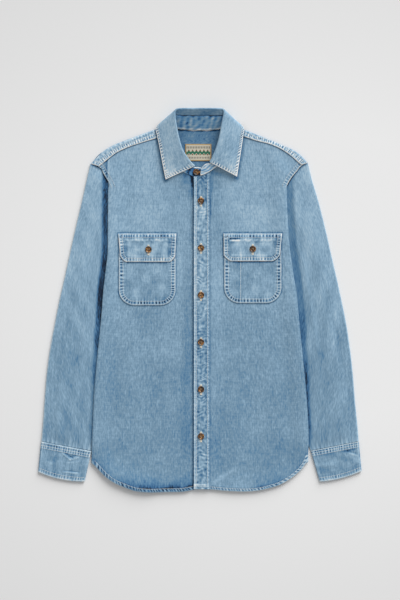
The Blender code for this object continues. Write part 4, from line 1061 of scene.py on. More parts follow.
pockets, flaps = {}, {}
for side, word in ((-1, "right"), (1, "left")):
    near, far, top, flap_low, bag_low, _, _ = POCKET[side]
    middle, half = (near + far) / 2, (far - near) / 2
    inward = places((0.1, 0.02), (1.0, 0.028))
    across = np.concatenate([inward - 1, 1 - inward[-2::-1]])
    bag_out = middle + across * half
    into = np.clip((np.abs(across) * half - (half - POCKET_CORNER)) / POCKET_CORNER, 0, 1)
    low = bag_low + POCKET_CORNER * (1 - np.sqrt(1 - into * into))
    y = mix(low, top - BAG_TOP_SHORT, places((0.09, 0.011), (1.0, 0.0145))[:, None])
    x = np.broadcast_to(side * bag_out, y.shape)
    base = front_z(side, side * x, y) + drape(side, x, y)
    place = np.dstack([x, y])
    edge_far, edge_at = from_line(place, pocket_line(side))
    marks, lift = sewn(edge_far, edge_at, 71 + side, POCKET_ROWS_MM, wear_and_shade=0.6, pucker=1.5, period=7.0)
    fade = wash(x, y) + 0.05 * ripples(x, y, 34, 75 + side) - 0.01 + bands(edge_far, BAG_TONES)
    if side > 0:
        pen = np.abs(x - PEN_ROW_X)
        fade, lift = fade + bands(pen, PEN_ROW_TONES), lift + bands(pen, PEN_ROW_SINKS)
    pockets[side] = flat_piece("shirt_pocket_" + word, "pocket_" + word,
                               np.dstack([x, y, base + CLOTH + SEAM + POCKET_LIFT]), fade=fade, lift=lift,
                               seams=[marks])

    place = flap_plan(side, across, places((0.16, 0.025), (1.0, 0.033))[:, None])
    x, y = place[..., 0], place[..., 1]
    base = front_z(side, side * x, y) + drape(side, x, y)
    over = step((top - y) / FLAP_RISE)
    z = base + CLOTH / 2 + SEAM + DOUBLED / 2 + POCKET_LIFT + over * (CLOTH + SEAM)
    edge_far, edge_at = from_line(place, flap_line(side))
    marks, lift = sewn(edge_far, edge_at, 81 + side, FLAP_ROWS_MM, wear_and_shade=0.9, pucker=1.3, period=6.0)
    run, down = x + FLAP_RUN, top - y
    top_marks, top_lift = sewn(down, run, 85 + side, FLAP_ROWS_MM, wear_and_shade=0.3, pucker=1.3, period=5.8)
    wavy = FLAP_CREASE_MM + 1.6 * gathers(run, 89 + side, 16)
    crumple = step((edge_far - 8) / 5) * (0.6 + 0.5 * gathers(run, 90 + side, 11))
    side_far, up = (1 - np.abs(across)) * half + 0 * y, y - flap_low
    # blue between its top rows and beside its sides, pale along its crease and above its lower row
    fade = wash(x, y) + 0.06 + 0.1 * ripples(x, y, 24, 87 + side) - 0.22 * bump_at(down, 6.8, 3.4)
    fade = fade + bands(side_far, FLAP_SIDE_TONES[side]) + 0.07 * bump_at(up, 7.4, 1.4)
    fade = fade + bands(up, FLAP_LOW_TONE[side]) * step((side_far - 12) / 8)
    fade = fade + crumple * (0.26 * bump_at(down, wavy, 1.8) - 0.16 * bump_at(down, wavy + 4.2, 2.4))
    fade = fade - 0.22 * bump_at(side_far, 13.5, 5) * step((down - 9) / 4) * step((up - 7) / 5)
    fade = fade - 0.1 * bump_at(up, 10, 1.2) * step((side_far - 8) / 5)
    lift = np.where(down < edge_far, top_lift, lift) + 0.5 * crumple * bump_at(down, wavy, 2.4)
    if side > 0:
        slot_from, slot_to, slot_y = PEN_SLOT
        half_slot = (slot_to - slot_from) / 2
        in_slot = 1 - step((np.abs(x - slot_from - half_slot) - half_slot) / SLOT_SOFT + 0.5)
        # the slot's lip is worn pale, and its opening is painted dark as its shade
        fade = fade + in_slot * bands(y - slot_y, SLOT_TONES)
        lift = lift + in_slot * bands(y - slot_y, SLOT_LIFTS)
    flaps[side] = flat_piece("shirt_flap_" + word, "flap_" + word, np.dstack([x, y, z]), thick=DOUBLED,
                             fade=fade, lift=lift, seams=[marks, top_marks])
    # painted shadow lines, with unfaded blue, beside the pocket, under the flap and above its top, on the front
    # and on the pocket
    shade_and_indigo_beside(fronts[side], pocket_line(side), 0.45, 4.5)
    shade_and_indigo_beside(fronts[side], flap_line(side), 0.6, 5.5)
    shade_and_indigo_beside(fronts[side], [(side * near, top), (side * far, top)], 0.55, 7.0)
    shade_and_indigo_beside(pockets[side], flap_line(side), 0.65)

# Sleeves.
# One-piece sleeves, flattened beside the body. Each is a tube with a soft fold down both edges,
# sewn to the armhole under the fronts' edge and gathered a little into its cuff.
OUTER_FOLD = 2.1
INNER_FOLD = 0.9
SLEEVE_PUFF = 1.5
TUCKED_Z = 2.7
# shares of the sleeve's length by which its rings have straightened out, and left the armhole's height
STRAIGHT_BY, LEVEL_BY = 0.28, 0.06
# points round a tube's fold, with both ends
FOLD_POINTS = 8
# from the shoulder to the cuff seam: y and out of the outer fold, y and out of the inner fold
SLEEVE = {
    -1: ((291.0, 232.5, 95.0, 187.2), (255.6, 240.6, 79, 189), (213, 250.0, 60, 191.5),
         (159.8, 262.6, 18, 196.5), (106.5, 274.7, -18, 199.6), (53.3, 286.3, -56, 203.5),
         (0, 298.4, -95, 207.5), (-53.3, 309, -135, 211), (-106.5, 318.8, -175, 214.6),
         (-159.8, 325.8, -215, 218), (-213, 330.2, -256, 221.5), (-266.3, 334, -298, 226.5),
         (-300.9, 337.0, -321.4, 231.8)),
    1: ((293.0, 228.5, 95.0, 184.0), (255.6, 237.5, 79, 187), (213, 250.3, 60, 189.5),
        (159.8, 264.1, 18, 196.5), (106.5, 276.3, -18, 200), (53.3, 288.6, -56, 203.6),
        (0, 300.3, -95, 207.5), (-53.3, 311, -135, 211.6),
        (-106.5, 318.9, -175, 215.4), (-159.8, 324.8, -215, 218.8), (-213, 329.1, -256, 222.5),
        (-266.3, 334.4, -298, 227.5), (-300.9, 337.2, -320.7, 236.0)),
}
# long soft folds: share across from the outer fold, share down at start and end, width, height
SLEEVE_FOLDS = {
    -1: ((0.30, 0.10, 0.95, 0.16, 0.7), (0.58, 0.30, 1.05, 0.10, 0.4)),
    1: ((0.34, 0.08, 0.90, 0.16, 0.7), (0.62, 0.02, 0.60, 0.06, 0.5)),
}
# creases of the sleeves: out and y at both ends, width, height
SLEEVE_CREASES = {
    -1: ((262, 60, 300, -150, 9, -0.30), (300, -150, 316, -280, 7, -0.35), (240, 10, 262, -140, 10, -0.25),
         (284, -235, 292, -308, 5, -0.45), (306, -250, 309, -300, 4, -0.35), (262, -262, 262, -312, 4, -0.35),
         (325, -215, 330, -290, 4, -0.3), (246, -270, 247, -318, 4, 0.35)),
    1: ((225, 240, 212, 90, 9, -0.45), (262, 40, 300, -110, 8, -0.40), (288, -60, 318, -215, 7, -0.45),
        (300, -170, 312, -285, 6, -0.3), (250, -40, 262, -200, 10, -0.25), (318, -255, 322, -302, 4, -0.35),
        (296, -262, 297, -308, 4, -0.35), (268, -250, 266, -312, 5, -0.3)),
}
# the painted shadow that the body casts on the sleeve beside it: how wide it is at full depth, how far it then
# fades out, how deep it is low and high
SLEEVE_SHADE = {-1: (8.0, 9.0, 0.18, 0.47), 1: (11.0, 9.0, 0.34, 0.25)}
# how high up the cuff's gathers run on, tone of a sleeve's underside, and of the worn fold at its outer edge,
# painted lighter on the wearer's right, where that fold faces away from the lamp
CUFF_GATHERS_MM = 14.0
SLEEVE_UNDER_TONE = -0.02
OUTER_FOLD_WORN_AND_LIT = {-1: 0.18, 1: 0.06}


def tube_rings(first, last, inward, upper_z, plan, bottom, outer_fold, inner_fold):
    """One ring of a flattened tube: over its top, round the inner fold, back under, round the outer fold."""
    upper = np.column_stack([plan, upper_z])
    lower = np.column_stack([plan, np.full(len(plan), bottom)])[::-1]
    angles = np.linspace(-math.pi / 2, math.pi / 2, FOLD_POINTS)[1:-1]
    over = [np.append(first - inward * outer_fold * math.cos(a), bottom + outer_fold * (1 + math.sin(a)))
            for a in angles]
    under = [np.append(last + inward * inner_fold * math.cos(a), bottom + inner_fold * (1 + math.sin(a)))
             for a in angles[::-1]]
    return np.concatenate([upper, under, lower, over])


def sleeve_grid(side, downs, w):
    """Middle surface of a sleeve: rings round the flattened tube, slanted at the shoulder."""
    table = np.array(SLEEVE[side])
    keys = np.linspace(0, 1, len(table))
    seam = armhole(side, arm_y(side, w))
    arm = np.column_stack([seam[:, 0], arm_y(side, w), seam[:, 1]])
    straight = mix(arm[0], arm[-1], w[:, None])
    rings = []
    for down in downs:
        outer_y, outer_out, inner_y, inner_out = through(keys, table, down)
        outer, inner = np.array([outer_out, outer_y]), np.array([inner_out, inner_y])
        inward = unit(inner - outer)
        first, last = outer + inward * OUTER_FOLD, inner - inward * INNER_FOLD
        plan = mix(first, last, w[:, None]) + (arm - straight)[:, :2] * (1 - step(down / STRAIGHT_BY))
        z = FLOOR + 2 * mix(OUTER_FOLD, INNER_FOLD, w)
        puff = SLEEVE_PUFF * step(w * 4) * step((1 - w) * 2.4) * step(down * 5) * step((1 - down) * 12 + 0.1)
        for place, start, end, width, height in SLEEVE_FOLDS[side]:
            shape = np.exp(-2 * ((w - place) / width) ** 2) * step(w * 6) * step((1 - w) * 6)
            puff = puff + height * shape * step((down - start) * 6 + 0.5) * step((end - down) * 6 + 0.5)
        z = z + puff
        clear = step((plan[:, 0] - edge_out(side, plan[:, 1]) - 1) / 18)
        z = mix(np.minimum(z, TUCKED_Z), z, clear)
        z = mix(arm[:, 2], z, step(down / LEVEL_BY))
        z[0], z[-1] = FLOOR + 2 * OUTER_FOLD, FLOOR + 2 * INNER_FOLD
        rings.append(tube_rings(first, last, inward, z, plan, FLOOR, OUTER_FOLD, INNER_FOLD))
    grid = np.array(rings)
    grid[..., 0] *= side
    return grid


for side, word in ((-1, "right"), (1, "left")):
    downs = places((0.03, 0.0035), (0.94, 0.0062), (1.0, 0.0035))
    w = places((0.06, 0.012), (0.94, 0.0205), (1.0, 0.012))
    grid = sleeve_grid(side, downs, w)
    upper = len(w)
    x, y = grid[..., 0], grid[..., 1]
    on_top = np.zeros(grid.shape[1])
    on_top[:upper] = step(w * 9) * step((1 - w) * 9)
    cuff_far = spans(grid, 0)[-1] - spans(grid, 0)
    seam_at = spans(grid, 1)[-1][None, :] + np.zeros_like(x)
    gather = gathers(seam_at, 91 + side, 9.0)
    near_cuff = np.exp(-cuff_far / CUFF_GATHERS_MM)
    creases = sum(ridge(side * x, y, crease) for crease in SLEEVE_CREASES[side])
    relief = creases + 0.16 * ripples(x, y, 60, 95 + side, 2.2) + 0.07 * ripples(x, y, 20, 97 + side, 2.4)
    relief = relief * np.minimum(1, spans(grid, 0) / 25) + 0.45 * gather * near_cuff
    grid = grid.copy()
    grid[..., 2] += relief * on_top
    arm_far = spans(grid, 0)
    body_far = side * x - edge_out(side, y)
    # pale on the gathers at the cuff; the creases painted darker in their grooves and lighter on their ridges,
    # as their shade and light; painted shadow beside the body, and painted shade in the armhole's seam
    fade = wash(x, y) + 0.02 + 0.08 * creases + 0.16 * gather * near_cuff + 0.12 * np.exp(-cuff_far / 4.5)
    fade = fade + 0.03 * ripples(x, y, 30, 99 + side, 2.5)
    flat_part, soft_part, deep_low, deep_high = SLEEVE_SHADE[side]
    higher = step((y + 260) / 300)
    shade = 1 - step((body_far - mix(1, flat_part, higher)) / soft_part)
    fade = fade - mix(deep_low, deep_high, higher) * shade * step((y + 330) / 50)
    arm_gather = gathers(seam_at * 1.3, 93 + side, 7.0)
    fade = fade - 0.45 * bump_at(arm_far, 0, 3.0) + 0.08 * arm_gather * np.exp(-arm_far / 9)
    fade[:, upper:] = SLEEVE_UNDER_TONE
    # the outer fold: worn pale, and painted lighter as light on the wearer's right one
    fade[:, 2 - FOLD_POINTS:] = OUTER_FOLD_WORN_AND_LIT[side]
    cloth("shirt_sleeve_" + word, "sleeve_" + word, grid, fade=fade, face=(60, 0.25), tube=True)

# Cuffs.
# A straight double strip closes each sleeve. Three rows of stitches hold the sleeve in it, one
# more runs round its lower edge, and the cloth between is wrinkled by the wash.
CUFF_CLOTH = 1.6
CUFF_FOLD = 1.9
# out and y of the seam's outer and inner ends, then of the lower edge's outer end, middle and inner end
CUFF = {
    -1: ((337.4, -301.3), (231.9, -321.8), (344.0, -366.6), (297.0, -381.6), (246.5, -386.8)),
    1: ((337.3, -301.3), (236.2, -321.1), (343.2, -365.0), (298.0, -380.2), (255.6, -386.8)),
}
CUFF_ROWS_MM = {-1: (2.4, 8.0, 13.2), 1: (1.0, 5.8, 11.0)}
CUFF_LOW_ROW_MM = 9.0
# wrinkles of the cuffs: out and y at both ends, width, height
CUFF_WRINKLES = {
    -1: ((293, -326, 275, -341, 1.7, 0.9), (288, -325, 268, -338, 1.5, -0.9), (258, -335, 281, -341, 1.6, 0.8),
         (262, -331, 279, -334, 1.5, -0.8), (255, -344, 284, -347, 1.8, 0.4), (257, -369, 292, -366, 1.7, 0.8),
         (259, -366, 290, -363, 1.6, -0.7), (310, -350, 330, -345, 5, 0.3)),
    1: ((304, -323, 332, -318, 1.8, -0.7), (313, -321, 334, -327, 1.6, -0.6), (315, -326, 337, -332, 1.8, 0.6),
        (262, -352, 290, -350, 6, 0.4)),
}


def cuff_grid(side, downs, w):
    """Middle surface of a cuff, a short flattened tube whose lower edge bows a little."""
    seam_outer, seam_inner, low_outer, low_middle, low_inner = (np.array(p) for p in CUFF[side])
    floor = CUFF_CLOTH / 2
    rings = []
    for down in downs:
        outer, inner = mix(seam_outer, low_outer, down), mix(seam_inner, low_inner, down)
        inward = unit(inner - outer)
        first, last = outer + inward * CUFF_FOLD, inner - inward * CUFF_FOLD
        bow = (low_middle - mix(low_outer, low_inner, 0.5)) * down
        plan = mix(first, last, w[:, None]) + bow * (4 * w * (1 - w))[:, None]
        top = np.full(len(w), floor + 2 * CUFF_FOLD)
        rings.append(tube_rings(first, last, inward, top, plan, floor, CUFF_FOLD, CUFF_FOLD))
    grid = np.array(rings)
    grid[..., 0] *= side
    return grid


cuffs = {}
for side, word in ((-1, "right"), (1, "left")):
    w = places((0.06, 0.014), (0.94, 0.0165), (1.0, 0.014))
    grid = cuff_grid(side, places((1.0, 0.0245)), w)
    upper = len(w)
    x, y = grid[..., 0], grid[..., 1]
    seam_far, at = spans(grid, 0), spans(grid, 1)[-1][None, :] + np.zeros_like(x)
    low_far = seam_far[-1] - seam_far
    first_row, second_row, last_row = CUFF_ROWS_MM[side]
    marks, lift = sewn(seam_far, at, 101 + side, (first_row, last_row), wear_and_shade=0.5, pucker=1.1,
                       period=4.6, reach=7)
    low_marks, low_lift = sewn(low_far, at, 105 + side, (3.0, CUFF_LOW_ROW_MM), wear_and_shade=0.8, period=5.6)
    fade = 0.06 * bump_at(low_far, 5, 5) + bands(seam_far, (
        (second_row, 1.2, 0.14), (first_row + 2.2, 1.2, -0.1), (last_row + 2.6, 1.6, -0.07)))
    wrinkles = sum(ridge(side * x, y, wrinkle) for wrinkle in CUFF_WRINKLES[side])
    # the wrinkles are painted lighter where they rise and darker where they sink, as their light and shade
    fade = fade + wash(x, y) + 0.3 * wrinkles + 0.05 * ripples(x, y, 24, 107 + side) + 0.02
    on_top = np.zeros(grid.shape[1])
    on_top[:upper] = step(w * 8) * step((1 - w) * 8)
    grid = grid.copy()
    grid[..., 2] += (lift + low_lift + wrinkles + 0.06 * ripples(x, y, 18, 109 + side)) * on_top
    side_far = np.minimum(np.abs(at - at[:, :1]), np.abs(at[:, upper - 1:upper] - at))
    fade = fade + 0.12 * bump_at(side_far, 0, 2.4)
    cuffs[side] = cloth("shirt_cuff_" + word, "cuff_" + word, grid, thick=CUFF_CLOTH, fade=fade,
                        seams=[marks, low_marks], face=(20, 0.25), tube=True)

# Collar.
# A stiffened stand rises from the neck seam, and the leaf is sewn into its top, rolls over and
# lies on the fronts. The leaf's free edge is stitched, and its points are worn nearly white.
COLLAR_CLOTH = 1.8
# from the wearer's right end round the back to the left end: x, y, z of the stand's base,
# of the roll line (the stand's top where there is no leaf) and of the leaf's free edge
COLLAR_UNDER_END = (
    ((9.0, 263.0, 3.6), (7.5, 279.0, 4.2)),
    ((-4.0, 262.4, 3.8), (-2.0, 282.6, 5.2)),
)
COLLAR = (
    ((-18.0, 264.5, 4.4), (-10.9, 285.6, 9.0), (-73.3, 256.0, 8.4)),
    ((-36.0, 273.6, 6.6), (-22.0, 296.5, 13.0), (-75.8, 268.0, 8.8)),
    ((-52.5, 292.0, 8.4), (-36.5, 318.5, 18.0), (-80.4, 292.0, 9.9)),
    ((-62.5, 318.0, 8.6), (-45.5, 347.0, 20.5), (-86.4, 325.0, 9.9)),
    ((-66.5, 345.0, 8.6), (-51.0, 377.0, 22.0), (-91.6, 350.0, 9.9)),
    ((-66.3, 364.0, 8.2), (-53.0, 396.0, 22.5), (-93.9, 364.5, 8.6)),
    ((-60.0, 368.6, 5.7), (-50.5, 403.5, 22.5), (-83.5, 376.5, 6.0)),
    ((-48.0, 364.2, 3.3), (-43.0, 406.0, 22.0), (-66.5, 383.0, 2.4)),
    ((-28.0, 362.4, 2.0), (-26.0, 406.5, 21.6), (-38.0, 383.0, 1.0)),
    ((0.0, 361.2, 1.8), (0.0, 406.5, 21.6), (0.0, 383.0, 1.0)),
    ((28.0, 362.4, 2.0), (26.0, 406.5, 21.6), (38.0, 383.0, 1.0)),
    ((48.0, 364.2, 3.3), (43.5, 406.0, 22.0), (64.5, 383.0, 2.4)),
    ((60.0, 368.6, 5.7), (49.5, 403.5, 22.5), (80.5, 377.0, 6.0)),
    ((66.3, 364.0, 8.2), (50.5, 396.0, 22.5), (93.7, 364.5, 8.6)),
    ((66.5, 345.0, 8.8), (46.8, 377.0, 22.0), (92.0, 350.0, 9.9)),
    ((62.5, 318.0, 9.2), (41.0, 345.0, 20.5), (88.6, 325.0, 10.0)),
    ((52.5, 297.0, 8.6), (33.0, 319.0, 18.2), (83.6, 294.0, 10.0)),
    ((37.5, 284.5, 7.9), (25.5, 302.0, 16.0), (80.3, 272.0, 9.8)),
    ((23.5, 275.0, 8.4), (20.4, 293.1, 14.2), (78.8, 262.0, 9.4)),
)
COLLAR_OVER_END = (
    ((11.5, 268.0, 9.2), (11.3, 288.6, 12.6)),
    ((4.0, 265.2, 9.3), (4.4, 282.0, 11.4)),
    ((0.7, 264.6, 9.4), (1.2, 273.0, 10.6)),
)
# the stand's cloth lost less of its indigo than the rest, and its tones are also painted brighter, as light for
# where it stands in shade inside the neck
STAND_BLUE_AND_LIT_TONES = ((0.0, "#15253a"), (0.06, "#284a6c"), (0.12, "#33689d"), (0.2, "#4b7ead"), (0.28, "#5b8eb9"),
               (0.4, "#76a2c3"), (0.5, "#86aac5"), (0.64, "#9fbbce"), (0.8, "#c0d0da"), (1.0, "#e8e9e7"))
STAND_SHARE = 0.70
STAND_END_SHARE = 0.93
ROLL_RADIUS = 1.5
PER_STEP = 20
# the stand's edges: how far they are worn pale, and how wide
STAND_WORN, STAND_WORN_MM = 0.42, 1.8
# length of its covered end and of the end that laps over it, and how far apart that one's folds are
STAND_UNDER_MM, STAND_OVER_MM, STAND_FOLD_MM = 30.0, 60.0, 6.5
# the part behind the neck: how far out it reaches, and the y it begins at
BEHIND_OUT, BEHIND_Y = 60.0, 345.0
# the leaf's rows of stitches, its own tone, and how far its points are worn and over what size
LEAF_EDGE_ROW_MM, LEAF_ROW_MM = 1.8, 6.0
LEAF_TONE, POINT_WORN, POINT_MM = 0.045, 0.16, 26.0
# the puckers of the leaf's ends are counted from here, so that they don't repeat those of its edge
LEAF_END_RUN = 900.0


def finer(rows):
    """Smooth curve through the rows, with more points to each step of the table."""
    keys = np.arange(len(rows))
    return through(keys, rows, np.linspace(0, len(rows) - 1, (len(rows) - 1) * PER_STEP + 1))


under, over = len(COLLAR_UNDER_END), len(COLLAR_OVER_END)
whole = [row[:2] for row in (*COLLAR_UNDER_END, *COLLAR, *COLLAR_OVER_END)]
base, top = np.array(whole).transpose(1, 0, 2)
edge = np.array([row[2] for row in COLLAR])
leaf_base, roll = base[under:-over], top[under:-over]
line = unit(np.gradient(roll, axis=0))
rising, falling = leaf_base - roll, edge - roll
rising = unit(rising - line * (rising * line).sum(1, keepdims=True))
falling = unit(falling - line * (falling * line).sum(1, keepdims=True))
outward, across = -unit(rising + falling), unit(falling - rising)
middle = roll - outward * ROLL_RADIUS
enters = middle - across * ROLL_RADIUS
steps_in = np.minimum(np.arange(len(COLLAR)), np.arange(len(COLLAR))[::-1])
share = mix(STAND_END_SHARE, STAND_SHARE, step(steps_in / 3))[:, None]
stand_top = top.copy()
stand_top[under:-over] = mix(leaf_base, enters, share)
stand_top, stand_base = finer(stand_top), finer(base)
stand_grid = mix(stand_base[:, None], stand_top[:, None], places((1.0, 0.052))[None, :, None])
at, up = spans(stand_grid, 0), spans(stand_grid, 1)
high = up[:, -1:]
end_far = at[-1:] - at
behind = step((BEHIND_OUT - np.abs(stand_grid[..., 0])) / 14) * step((stand_grid[..., 1] - BEHIND_Y) / 10)
off_edges = step(up / 3) * step((high - up) / 3)
stand_wave = gathers(at + 0.3 * up, 121, 12.0) * off_edges + 0.5 * ripples(at, up, 26, 124) * behind
covered = 1 - step((at - STAND_UNDER_MM) / 20)
over_part = step((at - at[-1:] + STAND_OVER_MM) / 12)
folded = np.sin(2 * math.pi * (up / STAND_FOLD_MM + 0.12 * ripples(at, up, 30, 125)))
# pale along the sewn base, the top and both ends, and bluer behind the neck; painted shade darkens its top
# under the roll behind the neck and its covered end, under the leaf
base_worn = (STAND_WORN + 0.14 * gathers(at, 122, 6.0)) * (1 - 0.9 * covered)
stand_fade = base_worn * bump_at(up, 0, STAND_WORN_MM) + 0.4 * behind * bump_at(up, 2.8, 1.5)
stand_fade = stand_fade + mix(STAND_WORN, -0.3, behind) * bump_at(up, high, STAND_WORN_MM)
stand_fade = stand_fade + STAND_WORN * bump_at(end_far, 0, STAND_WORN_MM) + 0.3 * bump_at(at, 0, 1.6)
stand_fade = stand_fade + 0.12 * stand_wave + mix(0.08, 0.12, behind) * ripples(at, up, 15, 123) - 0.13 * behind
stand_fade = stand_fade + over_part * (0.1 + 0.24 * folded * off_edges)
stand_fade = stand_fade - 0.45 * covered * step((high - up - 2) / 2)
stand = cloth("shirt_collar_stand", "collar_stand", stand_grid, thick=COLLAR_CLOTH, fade=stand_fade,
              lift=0.3 * stand_wave, face=(182, 0.5), reverse=None,
              material=denim_material("denim, little washed and painted lighter", STAND_BLUE_AND_LIT_TONES))

start = mix(leaf_base, enters, share)
start = start + unit(enters - leaf_base) * SEAM
lines = [mix(start, enters, t) for t in (0, 0.12, 0.3, 0.5, 0.75, 1)]
for angle in np.radians(np.linspace(-75, 75, 11)):
    lines.append(middle + ROLL_RADIUS * (outward * math.cos(angle) + across * math.sin(angle)))
leaves = middle + across * ROLL_RADIUS
lines += [mix(leaves, edge, t) for t in places((0.8, 0.04), (1.0, 0.018))]
leaf_grid = np.array([finer(row) for row in lines]).transpose(1, 0, 2)
at, down = spans(leaf_grid, 0), spans(leaf_grid, 1)
edge_far = down[:, -1:] - down
end_far = np.minimum(at, at[-1:] - at)
far = np.minimum(edge_far, end_far)
run = np.where(end_far < edge_far, down + LEAF_END_RUN, at)
on_leaf = np.where(end_far < 14, step((down - 5) / 4), step((down - 30) / 10))
marks, lift = sewn(far, run, 131, (LEAF_EDGE_ROW_MM, LEAF_ROW_MM), wear_and_shade=1.1, pucker=2.1, period=5.8,
                   reach=6, only=on_leaf)
leaf_x, leaf_y = leaf_grid[..., 0], leaf_grid[..., 1]
point = np.exp(-((edge_far ** 2 + end_far ** 2) / POINT_MM ** 2))
point = POINT_WORN * point * (1 + 0.5 * ripples(leaf_x, leaf_y, 9, 132))
leaf_fade = point + LEAF_TONE + 0.07 * bump_at(far, 4, 4)
# the leaf on the wearer's right is painted a little lighter, as light on it where it slopes away from the lamp
leaf_fade = leaf_fade + 0.04 * ripples(leaf_x, leaf_y, 45, 133, 1.6) + 0.03 * (leaf_x < 0)
streaks = np.where(leaf_x < 0, 0.09, 0.05) * ripples(leaf_x, leaf_y, 6, 136, 2.2)
leaf_fade = leaf_fade + (streaks + 0.03) * bump_at(end_far, 10, 8) * on_leaf
# the part inside the roll, and the leaf behind the neck, lost less of their indigo
inner_leaf = 1 - step((down - down[:, 5:6]) / 3)
at_back = step((60 - np.abs(leaf_x)) / 10) * step((leaf_y - 380) / 8)
leaf_fade = leaf_fade - 0.14 * inner_leaf - 0.07 * at_back * (1 - on_leaf)
leaf_lift = lift * on_leaf + 0.25 * ripples(leaf_x, leaf_y, 60, 135) * step((down - 24) / 20)
leaf = cloth("shirt_collar_leaf", "collar_leaf", leaf_grid, thick=COLLAR_CLOTH, fade=leaf_fade,
             lift=leaf_lift * (1 - 0.8 * bump_at(edge_far, 0, 3)), seams=[marks], face=(36, 0.8), reverse=-0.08)
# painted shade on the fronts and yoke under the leaf's free edge, and on the yoke beside the stand's base
for piece in (fronts[-1], fronts[1], yoke):
    for half in (leaf_grid[:len(leaf_grid) // 3, -1, :2], leaf_grid[-len(leaf_grid) // 3:, -1, :2]):
        shade_and_indigo_beside(piece, half, 0.5, 10.0)
shade_and_indigo_beside(yoke, stand_base[:, :2], 0.5)

# Topstitching.
# Thick off-white cotton thread, about eight stitches to the inch. Each stitch is a short strand
# that sinks into the cloth at both ends; it is drawn a little thicker than real, so that it shows.
STITCH_PITCH = 3.3
STITCH_LONG = 2.5
STITCH_RADIUS = 0.48
STITCH_SIDES = 5
# a stitch whose ends would lie further apart in height than this is left out
STITCH_STEP = 1.2
# ends of some rows: the lowest y of the armhole's, y of the placket's two long ones and of both ends of
# the one across its lower end, and y of the pen slot's
ARM_STITCHED_Y = 238.0
PLACKET_ROW_ENDS = (-392.0, 256.0)
PLACKET_CROSS_ROW = (-393.0, -393.5)
PEN_ROW_ENDS = (78.0, -2.0)
THREAD_TONES = "#e6e8e6", "#b4bdc2"


def thread_material(name, light, dark):
    """Spun cotton: matt, and twisted, so it is darker between its plies."""
    material, tree, shader = surface(name, 0.85, Specular_IOR_Level=0.25, Sheen_Weight=0.1)
    place = add(tree, "NewGeometry").outputs["Position"]
    noise = add(tree, "TexNoise", {"Vector": place, "Scale": 1 / (1.4 * MM), "Detail": 1.0}).outputs[0]
    colour = add(tree, "Mix", {0: noise, 6: linear(dark), 7: linear(light)}, data_type="RGBA").outputs[2]
    tree.links.new(colour, shader.inputs["Base Color"])
    bump = add(tree, "Bump", {"Height": noise, "Strength": 0.4, "Distance": 0.1 * MM})
    tree.links.new(bump.outputs[0], shader.inputs["Normal"])
    return material


def top_of(things):
    """What the pieces look like to a ray from above or below, in one tree of faces."""
    points, faces = [], []
    for thing in things:
        start = len(points)
        points += [vertex.co for vertex in thing.data.vertices]
        faces += [[start + k for k in face.vertices] for face in thing.data.polygons]
    return BVHTree.FromPolygons(points, faces)


def dropped(tree, place):
    """Height of the pieces' top at a plan point, or nothing where there are none."""
    hit = tree.ray_cast(Vector((place[0] * MM, place[1] * MM, 0.2)), Vector((0, 0, -1)))
    return None if hit[0] is None else hit[0].z / MM


def strand(points, radii):
    """Points and faces of one short closed strand through a few points."""
    points, sides = np.asarray(points, float), STITCH_SIDES
    ahead = unit(np.gradient(points, axis=0))
    aside = unit(np.cross(ahead, np.array([0.0, 0.0, 1.0])))
    over = np.cross(aside, ahead)
    turn = np.linspace(0, 2 * math.pi, sides, endpoint=False)
    rings = (points[:, None] + np.asarray(radii)[:, None, None]
             * (aside[:, None] * np.cos(turn)[None, :, None] + over[:, None] * np.sin(turn)[None, :, None]))
    faces = []
    for ring in range(len(points) - 1):
        for k in range(sides):
            n = (k + 1) % sides
            faces.append((ring * sides + k, (ring + 1) * sides + k, (ring + 1) * sides + n, ring * sides + n))
    faces.append(tuple(range(sides)))
    faces.append(tuple((len(points) - 1) * sides + k for k in range(sides - 1, -1, -1)))
    return rings.reshape(-1, 3), faces


def threads(name, strands, material):
    """Many strands as one piece."""
    points, faces = [], []
    for some, own in strands:
        faces += [tuple(len(points) + k for k in face) for face in own]
        points += list(some)
    mesh = bpy.data.meshes.new(name)
    mesh.from_pydata((np.array(points) * MM).tolist(), [], faces)
    mesh.shade_smooth()
    return placed(name, mesh, material, "denim")


def laid(tree, plan, above, radii):
    """A strand laid on the cloth under it, as a list, or an empty list where the cloth isn't even."""
    heights = [dropped(tree, place) for place in plan]
    if None in heights or max(heights) - min(heights) > STITCH_STEP:
        return []
    return [strand(np.column_stack([plan, np.array(heights) + np.array(above)]), np.array(radii))]


def stitches(tree, rows, seed, next_seed=1):
    """Strands along some plan lines, each laid on the cloth under it. The seed shakes the first line's
    stitches a little, and `next_seed` is what it grows by from each line to the next."""
    made = []
    for number, row in enumerate(rows):
        row = np.asarray(row, float)
        reach = np.concatenate([[0], np.cumsum(np.linalg.norm(np.diff(row, axis=0), axis=1))])
        rng = np.random.default_rng(seed + number * next_seed)
        for middle in np.arange(STITCH_PITCH / 2, reach[-1], STITCH_PITCH):
            spots = middle + np.array([-0.5, -0.22, 0.22, 0.5]) * STITCH_LONG
            plan = np.stack([np.interp(spots, reach, row[:, k]) for k in (0, 1)], -1)
            plan = plan + rng.normal(0, 0.08, 2)
            made += laid(tree, plan, (-0.25, 0.16, 0.16, -0.25), np.array([0.6, 1, 1, 0.6]) * STITCH_RADIUS)
    return made


